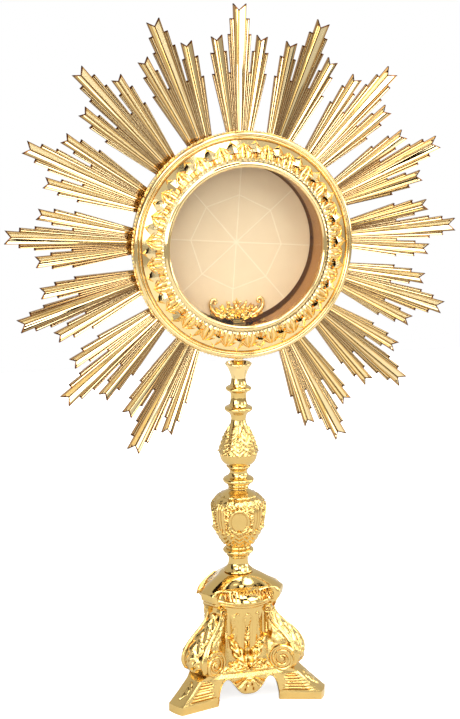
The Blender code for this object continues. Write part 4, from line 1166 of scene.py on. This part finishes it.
RING_IN, RING_OUT, RING_BACK = 0.0783, 0.1035, -0.0030
slot_half = math.asin(0.0105 / 0.0910)
ring_profile = [(RING_IN, RING_BACK), (RING_OUT - EASE, RING_BACK), (RING_OUT, RING_BACK + EASE),
                (RING_OUT, -EASE), (RING_OUT - EASE, 0.0), (RING_IN, 0.0)]
ring_arc = arc_block(ring_profile, math.pi + slot_half, 2 * (math.pi - slot_half), 160)
carrier = gather("glory_ring_flat", [ring_arc], polished_gold)
install(carrier, "stand", "gilt_brass", "glory_ring")

SCREW_ROUND = 24
SCREW_SEAT = -0.0002


def screw_head(radius, height):
    """A domed screw head with a straight slot: faces +Z, its seat at Z = 0."""
    turns = full_turn(SCREW_ROUND)
    rows = [[(0, 0, SCREW_SEAT)] * SCREW_ROUND,
            [(radius * math.cos(turn), radius * math.sin(turn), SCREW_SEAT) for turn in turns]]
    for share in (1.0, 0.96, 0.85, 0.65, 0.45, 0.3, 0.18, 0.0):
        size = radius * share
        dome = height * math.sqrt(max(0, 1 - share ** 4)) + 0.0001
        row = []
        for turn in turns:
            across = size * math.sin(turn)
            slot = abs(across) < radius * 0.16 and share < 0.97
            row.append((size * math.cos(turn), across, dome - (height * 0.55 if slot else 0)))
        rows.append(row)
    return np.array(rows)


def to_face(rows, place, out, turn=0.0):
    """Turn a grid that faces +Z so that it faces the out direction, and put it in its place."""
    out = Vector(out).normalized()
    frame_turn = out.to_track_quat("Z", "Y").to_matrix()
    cosine, sine = math.cos(turn), math.sin(turn)
    spin = np.array([[cosine, -sine, 0], [sine, cosine, 0], [0, 0, 1]])
    return rows @ (np.array(frame_turn) @ spin).T + np.array(place)


SCREW_RADIUS = 0.0920
SCREW_SPREAD = math.radians(3.2)
pair = []
for side in (1, -1):
    spread = side * SCREW_SPREAD
    seat = (SCREW_RADIUS * math.sin(spread), -RING_BACK, SCREW_RADIUS * math.cos(spread))
    pair.append(to_face(screw_head(0.0019, 0.0008), seat, (0, 1, 0), 0.7 * side))
ray_screws = gather("ray_screws", pair, steel, smooth=30)
run_tree(ray_screws, turned_copies, {**ON_GLORY, "Finish": steel})
install(ray_screws, "stand", "steel")

# ------------------------------------------------------------------ tenon
# The post under the drum: it stands in the socket cup, its head is saddled to the drum and silver
# soldered, and the tie rod ends in its blind hole.
TENON, SADDLE = 0.0046, 0.0095
tenon_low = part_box("case_tenon")[0]
TENON_ROUND = 64


def saddle_row(radius):
    """A loop of the head's top, bent to the drum that it carries."""
    return [(radius * math.cos(turn), radius * math.sin(turn) + AXIS_Y,
             GLORY.z - math.sqrt((DRUM_OUT + EASE) ** 2 - (radius * math.cos(turn)) ** 2))
            for turn in full_turn(TENON_ROUND)]


tenon_line = [(0.3470, 0.0), (0.3470, BORE), (tenon_low.z, BORE), (tenon_low.z, TENON - EASE),
              (tenon_low.z + EASE, TENON), (0.3540, TENON), (0.3556, 0.0052), (0.3568, 0.0066),
              (0.3576, 0.0088), (0.3584, SADDLE)]
tenon_rows = [*turned_rows(tenon_line, TENON_ROUND)]
tenon_rows += [saddle_row(SADDLE * share) for share in (1, 0.6, 0)]
tenon = skin("case_tenon_turned", tenon_rows, polished_gold, closed=False)
install(tenon, "stand", "gilt_brass", "case_tenon")

# ------------------------------------------------------------------ glazing
# Two flat panes of clear glass, ground round: one lies in front of the drum behind the bezel's
# lip, the other in the rebate of the door, where a thin ring holds it.
glass, glass_tree, glass_shader = new_finish("clear_glass")
glass_place = add_node(glass_tree, "ShaderNodeTexCoord").outputs["Object"]
glass_dust = add_node(glass_tree, "ShaderNodeTexNoise", {"Vector": glass_place, "Scale": 140}).outputs["Fac"]
feed(glass_tree, glass_shader, {
    "Base Color": (0.97, 0.99, 0.97, 1), "Transmission Weight": 1.0, "IOR": 1.45,
    "Roughness": map_range(glass_tree, glass_dust, 0.55, 1.0, 0.0, 0.03)})
glass_shadow = add_node(glass_tree, "ShaderNodeLightPath").outputs["Is Shadow Ray"]
mix_surface(glass_tree, glass_shadow, glass_shader, add_node(glass_tree, "ShaderNodeBsdfTransparent"))
DISC_ROUND = 128


def disc_rows(radius, back, front, ease):
    """A flat round disc with a small ground edge, as loops from the back's centre to the front's."""
    line = [(0, back), (radius * 0.5, back), (radius - ease, back), (radius, back + ease),
            (radius, front - ease), (radius - ease, front), (radius * 0.5, front), (0, front)]
    return case_rows(line, DISC_ROUND)


for name, body, radius, back, front in [("front_glass", "stand", 0.0774, 0.0262, 0.0282),
                                        ("door_glass", "door", 0.0673, -0.0300, -0.0288)]:
    pane = skin(f"{name}_pane", disc_rows(radius, back, front, 0.0002), glass, closed=False, smooth=30)
    install(pane, body, "clear_glass", name)

# ------------------------------------------------------------------ back door
# A turned ring that shuts the back of the drum. It swings on a pin hinge at one side, and its
# knob turns a small catch on the other.
DOOR_IN, DOOR_OUT, DOOR_REBATE = 0.0650, 0.0805, 0.0676
door_line = [
    (DOOR_IN, -0.0273), (DOOR_IN, -0.0273), (0.0653, -0.0270), (0.0802, -0.0270),
    (DOOR_OUT, -0.0273), (DOOR_OUT, -0.0273), (DOOR_OUT, -0.0300), (DOOR_OUT, -0.0300),
    (0.0802, -0.0312), (0.0794, -0.0318), (0.0780, -0.0315), (0.0774, -0.0311), (0.0774, -0.0311),
    (0.0690, -0.0311), (0.0690, -0.0311), (0.0687, -0.0317), (0.0680, -0.0317),
    (DOOR_REBATE, -0.0312), (DOOR_REBATE, -0.0312), (DOOR_REBATE, -0.0285), (DOOR_REBATE, -0.0285),
    (DOOR_IN, -0.0285), (DOOR_IN, -0.0285)]
door = skin("door_ring_turned", case_rows(flow(door_line, 3)), polished_gold, smooth=30)
install(door, "door", "gilt_brass", "door_ring")
clamp_line = [(DOOR_IN + 0.0004, -0.0303), (0.0673, -0.0303), (0.0673, -0.0310), (0.0670, -0.0313),
              (DOOR_IN + 0.0007, -0.0313), (DOOR_IN + 0.0004, -0.0310)]
clamp = skin("door_glass_ring_turned", case_rows(clamp_line), polished_gold, smooth=30)
install(clamp, "door", "gilt_brass", "door_glass_ring")
knob_low, knob_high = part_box("door_knob")
knob_x = (knob_low.x + knob_high.x) / 2
KNOB_ROUND = 48
KNOB_LINE = [
    (0, 0.0236), (0.0013, 0.0236), (0.0014, 0.0238), (0.0014, 0.0316), (0.0014, 0.0316),
    (0.0034, 0.0317), (0.0038, 0.0320), (0.0036, 0.0326), (0.0028, 0.0332), (0.0022, 0.0345),
    (0.0020, 0.0362), (0.0024, 0.0374), (0.0036, 0.0384), (0.0046, 0.0400), (0.0049, 0.0416),
    (0.0045, 0.0434), (0.0034, 0.0450), (0.0018, 0.0460), (0, 0.0462)]
knob_rows = [[(knob_x + radius * math.sin(turn), AXIS_Y + behind, GLORY.z + radius * math.cos(turn))
              for turn in full_turn(KNOB_ROUND)] for radius, behind in flow(KNOB_LINE, 3)]
knob = skin("door_knob_turned", knob_rows, polished_gold, closed=False)
install(knob, "knob", "gilt_brass", "door_knob")

# Hinge, catch and rail keep their own plain shapes in polished gilt brass; the pin is steel.
PLAIN_NODES = {
    "hinge_leaf_case": polished_gold, "hinge_leaf_door": polished_gold, "door_catch": polished_gold,
    "lunette_rail": polished_gold, "lunette_runner": polished_gold, "hinge_pin": steel}
for node, finish in PLAIN_NODES.items():
    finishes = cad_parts[node].data.materials
    finishes.clear()
    finishes.append(finish)
HINGE_LEAF_OUT = DRUM_OUT + 0.0006 + 0.0026
hinge_screws = gather("hinge_screws", [
    to_face(screw_head(0.0016, 0.0006), (-HINGE_LEAF_OUT, AXIS_Y + 0.0150, GLORY.z + side * 0.0075),
            (-1, 0, 0), 0.4 * side) for side in (1, -1)], steel, smooth=30)
install(hinge_screws, "stand", "steel")

# ------------------------------------------------------------------ lunette
# Two crescents of gilt brass hold the host between them. The front one is cast with a fan of
# leaves and two scrolled horns; a runner below slides in the rail on the floor of the drum.
HOST_LIFT = 0.0008
HOST_RADIUS = 0.0742
FRONT_SEAT = -0.0087


def to_front(rows, place, turn):
    """Lay a leaf that grows along -Y and faces +Z upright against the host, at a turn from upright."""
    across, up, lift = rows[..., 0], -rows[..., 1], rows[..., 2]
    return np.stack([place[0] + across * math.cos(turn) + up * math.sin(turn), GLORY.y - FRONT_SEAT - lift,
                     GLORY.z + HOST_LIFT + place[1] - across * math.sin(turn) + up * math.cos(turn)], axis=-1)


ornament = []
# Each leaf: foot (across, up), turn in degrees, length, half width, crown
for foot_x, foot_z, turn, length, half, crown in [
        (0.0, -0.0735, 0, 0.0200, 0.0052, 0.0044), (0.0030, -0.0735, 22, 0.0190, 0.0048, 0.0038),
        (0.0050, -0.0730, 44, 0.0180, 0.0046, 0.0036), (0.0070, -0.0722, 68, 0.0170, 0.0044, 0.0032),
        (0.0110, -0.0700, 18, 0.0120, 0.0040, 0.0034), (0.0150, -0.0695, 38, 0.0110, 0.0038, 0.0032),
        (0.0190, -0.0690, 62, 0.0095, 0.0032, 0.0026), (0.0022, -0.0735, 12, 0.0130, 0.0040, 0.0052),
        (0.0080, -0.0728, 32, 0.0120, 0.0040, 0.0050), (0.0040, -0.0738, 70, 0.0120, 0.0040, 0.0090),
        (0.0110, -0.0730, 74, 0.0120, 0.0038, 0.0070)]:
    for side in ((1,) if foot_x == 0 else (1, -1)):
        leaf = slab_rows(*leaf_solid(length, half, 3, crown, 0.0006, 0.0012, 12, 9))
        ornament.append(to_front(leaf, (side * foot_x, foot_z), math.radians(side * turn)))
HORN = [(0.0100, -0.0712), (0.0160, -0.0700), (0.0215, -0.0672), (0.0252, -0.0630), (0.0262, -0.0585),
        (0.0248, -0.0548), (0.0222, -0.0540), (0.0206, -0.0560), (0.0216, -0.0580), (0.0231, -0.0572)]
horn_line = flow(HORN, 4)
for side in (1, -1):
    path = np.column_stack([side * horn_line[:, 0], np.full(len(horn_line), GLORY.y - FRONT_SEAT - 0.0022),
                            GLORY.z + HOST_LIFT + horn_line[:, 1]])
    ornament.append(swept(path, np.linspace(0.0023, 0.0012, len(path)), 10))
ball = np.array([[(size * math.cos(turn), size * math.sin(turn), lift) for turn in bead_turns]
                 for size, lift in [(0, -1), (0.7, -0.7), (1, 0), (0.7, 0.7), (0, 1)]])
for spot_x, spot_z, size in [(0.0, -0.0640, 0.0026), (0.0055, -0.0630, 0.0022), (0.0105, -0.0640, 0.0020),
                             (0.0155, -0.0655, 0.0020), (0.0028, -0.0575, 0.0020), (0.0085, -0.0580, 0.0018),
                             (0.0050, -0.0705, 0.0030), (0.0125, -0.0700, 0.0026), (0.0190, -0.0680, 0.0020)]:
    for side in ((1,) if spot_x == 0 else (1, -1)):
        ornament.append(to_front(ball * size + [0, 0, 0.0034], (side * spot_x, spot_z), 0.0))
plate_profile = [(HOST_RADIUS, FRONT_SEAT), (HOST_RADIUS, -0.0077), (0.0690, -0.0077), (0.0690, FRONT_SEAT)]
plate = arc_block(plate_profile, math.pi - math.radians(21), math.radians(42), 24)
ornament.append(plate + [0, 0, HOST_LIFT])
# Painted light: the front crescent's ornament gets a paler, brighter gold than the other gilt brass, to
# offset the shade inside the case.
lit_ornament_gold = gilt("lit_ornament_gold", (1.0, 0.80, 0.38), (0.80, 0.45, 0.12), 0.14, 80, 0.0003)
lunette_front = gather("lunette_front_cast", ornament, lit_ornament_gold)
install(lunette_front, "lunette", "gilt_brass", "lunette_front")
back_profile = [(HOST_RADIUS, -0.0120), (HOST_RADIUS, -0.0103), (0.0680, -0.0103), (0.0677, -0.0106),
                (0.0677, -0.0117), (0.0680, -0.0120)]
crescent = arc_block(back_profile, math.pi - math.radians(26), math.radians(52), 40)
lunette_back = gather("lunette_back_crescent", [crescent + [0, 0, HOST_LIFT]], polished_gold)
install(lunette_back, "lunette", "gilt_brass", "lunette_back")

# ------------------------------------------------------------------ host
# A large round wafer of unleavened bread, baked between plates that score it with eight spokes
# and an eight-sided line for breaking. Faintly mottled and matt.
wafer, wafer_tree, wafer_shader = new_finish("wafer")


def wafer_math(operation, *values):
    """One step of the scoring's arithmetic."""
    return calculate(wafer_tree, operation, *values)


SPOKE_TURN = math.radians(4)
OCTAGON = 0.0450
SCORE_HALF = 0.0009
SCORE_PALE = 0.45
GLOW = 0.08
EIGHTH = math.pi / 4
wafer_place = add_node(wafer_tree, "ShaderNodeTexCoord").outputs["Object"]
wafer_centre = add_node(wafer_tree, "ShaderNodeMapping", {"Vector": wafer_place,
                                                          "Location": (0, -GLORY.y, -GLORY.z - HOST_LIFT)})
wafer_parts = add_node(wafer_tree, "ShaderNodeSeparateXYZ", {"Vector": wafer_centre.outputs["Vector"]})
wafer_x, wafer_z = wafer_parts.outputs["X"], wafer_parts.outputs["Z"]
# Distance to the nearest spoke and to the nearest side of the octagon, from polar coordinates
from_centre = wafer_math("SQRT", wafer_math("MULTIPLY_ADD", wafer_x, wafer_x,
                                            wafer_math("MULTIPLY", wafer_z, wafer_z)))
around = wafer_math("SUBTRACT", wafer_math("ARCTAN2", wafer_x, wafer_z), SPOKE_TURN)
spoke_wave = wafer_math("ABSOLUTE", wafer_math("SINE", wafer_math("MULTIPLY", around, 4)))
from_spoke = wafer_math("MULTIPLY", spoke_wave, wafer_math("MULTIPLY", from_centre, 0.25))
within = wafer_math("SUBTRACT", wafer_math("FLOORED_MODULO", around, EIGHTH), EIGHTH / 2)
outward = wafer_math("MULTIPLY", from_centre, wafer_math("COSINE", within))
from_side = wafer_math("ABSOLUTE", wafer_math("SUBTRACT", outward, OCTAGON * math.cos(EIGHTH / 2)))
score = map_range(wafer_tree, wafer_math("MINIMUM", from_spoke, from_side), SCORE_HALF, 0.0)
mottle = add_node(wafer_tree, "ShaderNodeTexNoise",
                  {"Vector": wafer_place, "Scale": 90, "Detail": 6}).outputs["Fac"]
crumb = mix_colors(wafer_tree, mottle, (0.76, 0.57, 0.355, 1), (0.82, 0.64, 0.42, 1))
scored = mix_colors(wafer_tree, wafer_math("MULTIPLY", score, SCORE_PALE), crumb, (1.0, 0.90, 0.72, 1))
wafer_height = wafer_math("MULTIPLY_ADD", mottle, 0.4, score)
wafer_bump = add_node(wafer_tree, "ShaderNodeBump",
                      {"Height": wafer_height, "Distance": 0.0004, "Strength": 0.5})
feed(wafer_tree, wafer_shader, {"Base Color": scored, "Roughness": 0.75,
                                "Normal": wafer_bump.outputs["Normal"]})
wafer_glow = add_node(wafer_tree, "ShaderNodeBsdfTranslucent", {"Color": scored})
mix_surface(wafer_tree, GLOW, wafer_shader, wafer_glow)
host_rows = disc_rows(HOST_RADIUS, -0.0100, -0.0090, 0.0003) + [0, 0, HOST_LIFT]
host = skin("host_wafer", host_rows, wafer, closed=False)
install(host, "lunette", "wafer", "host")

bpy.context.view_layer.update()
size = {"cad": [list(corner) for corner in cad_box], "visual": [list(corner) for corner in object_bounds()]}
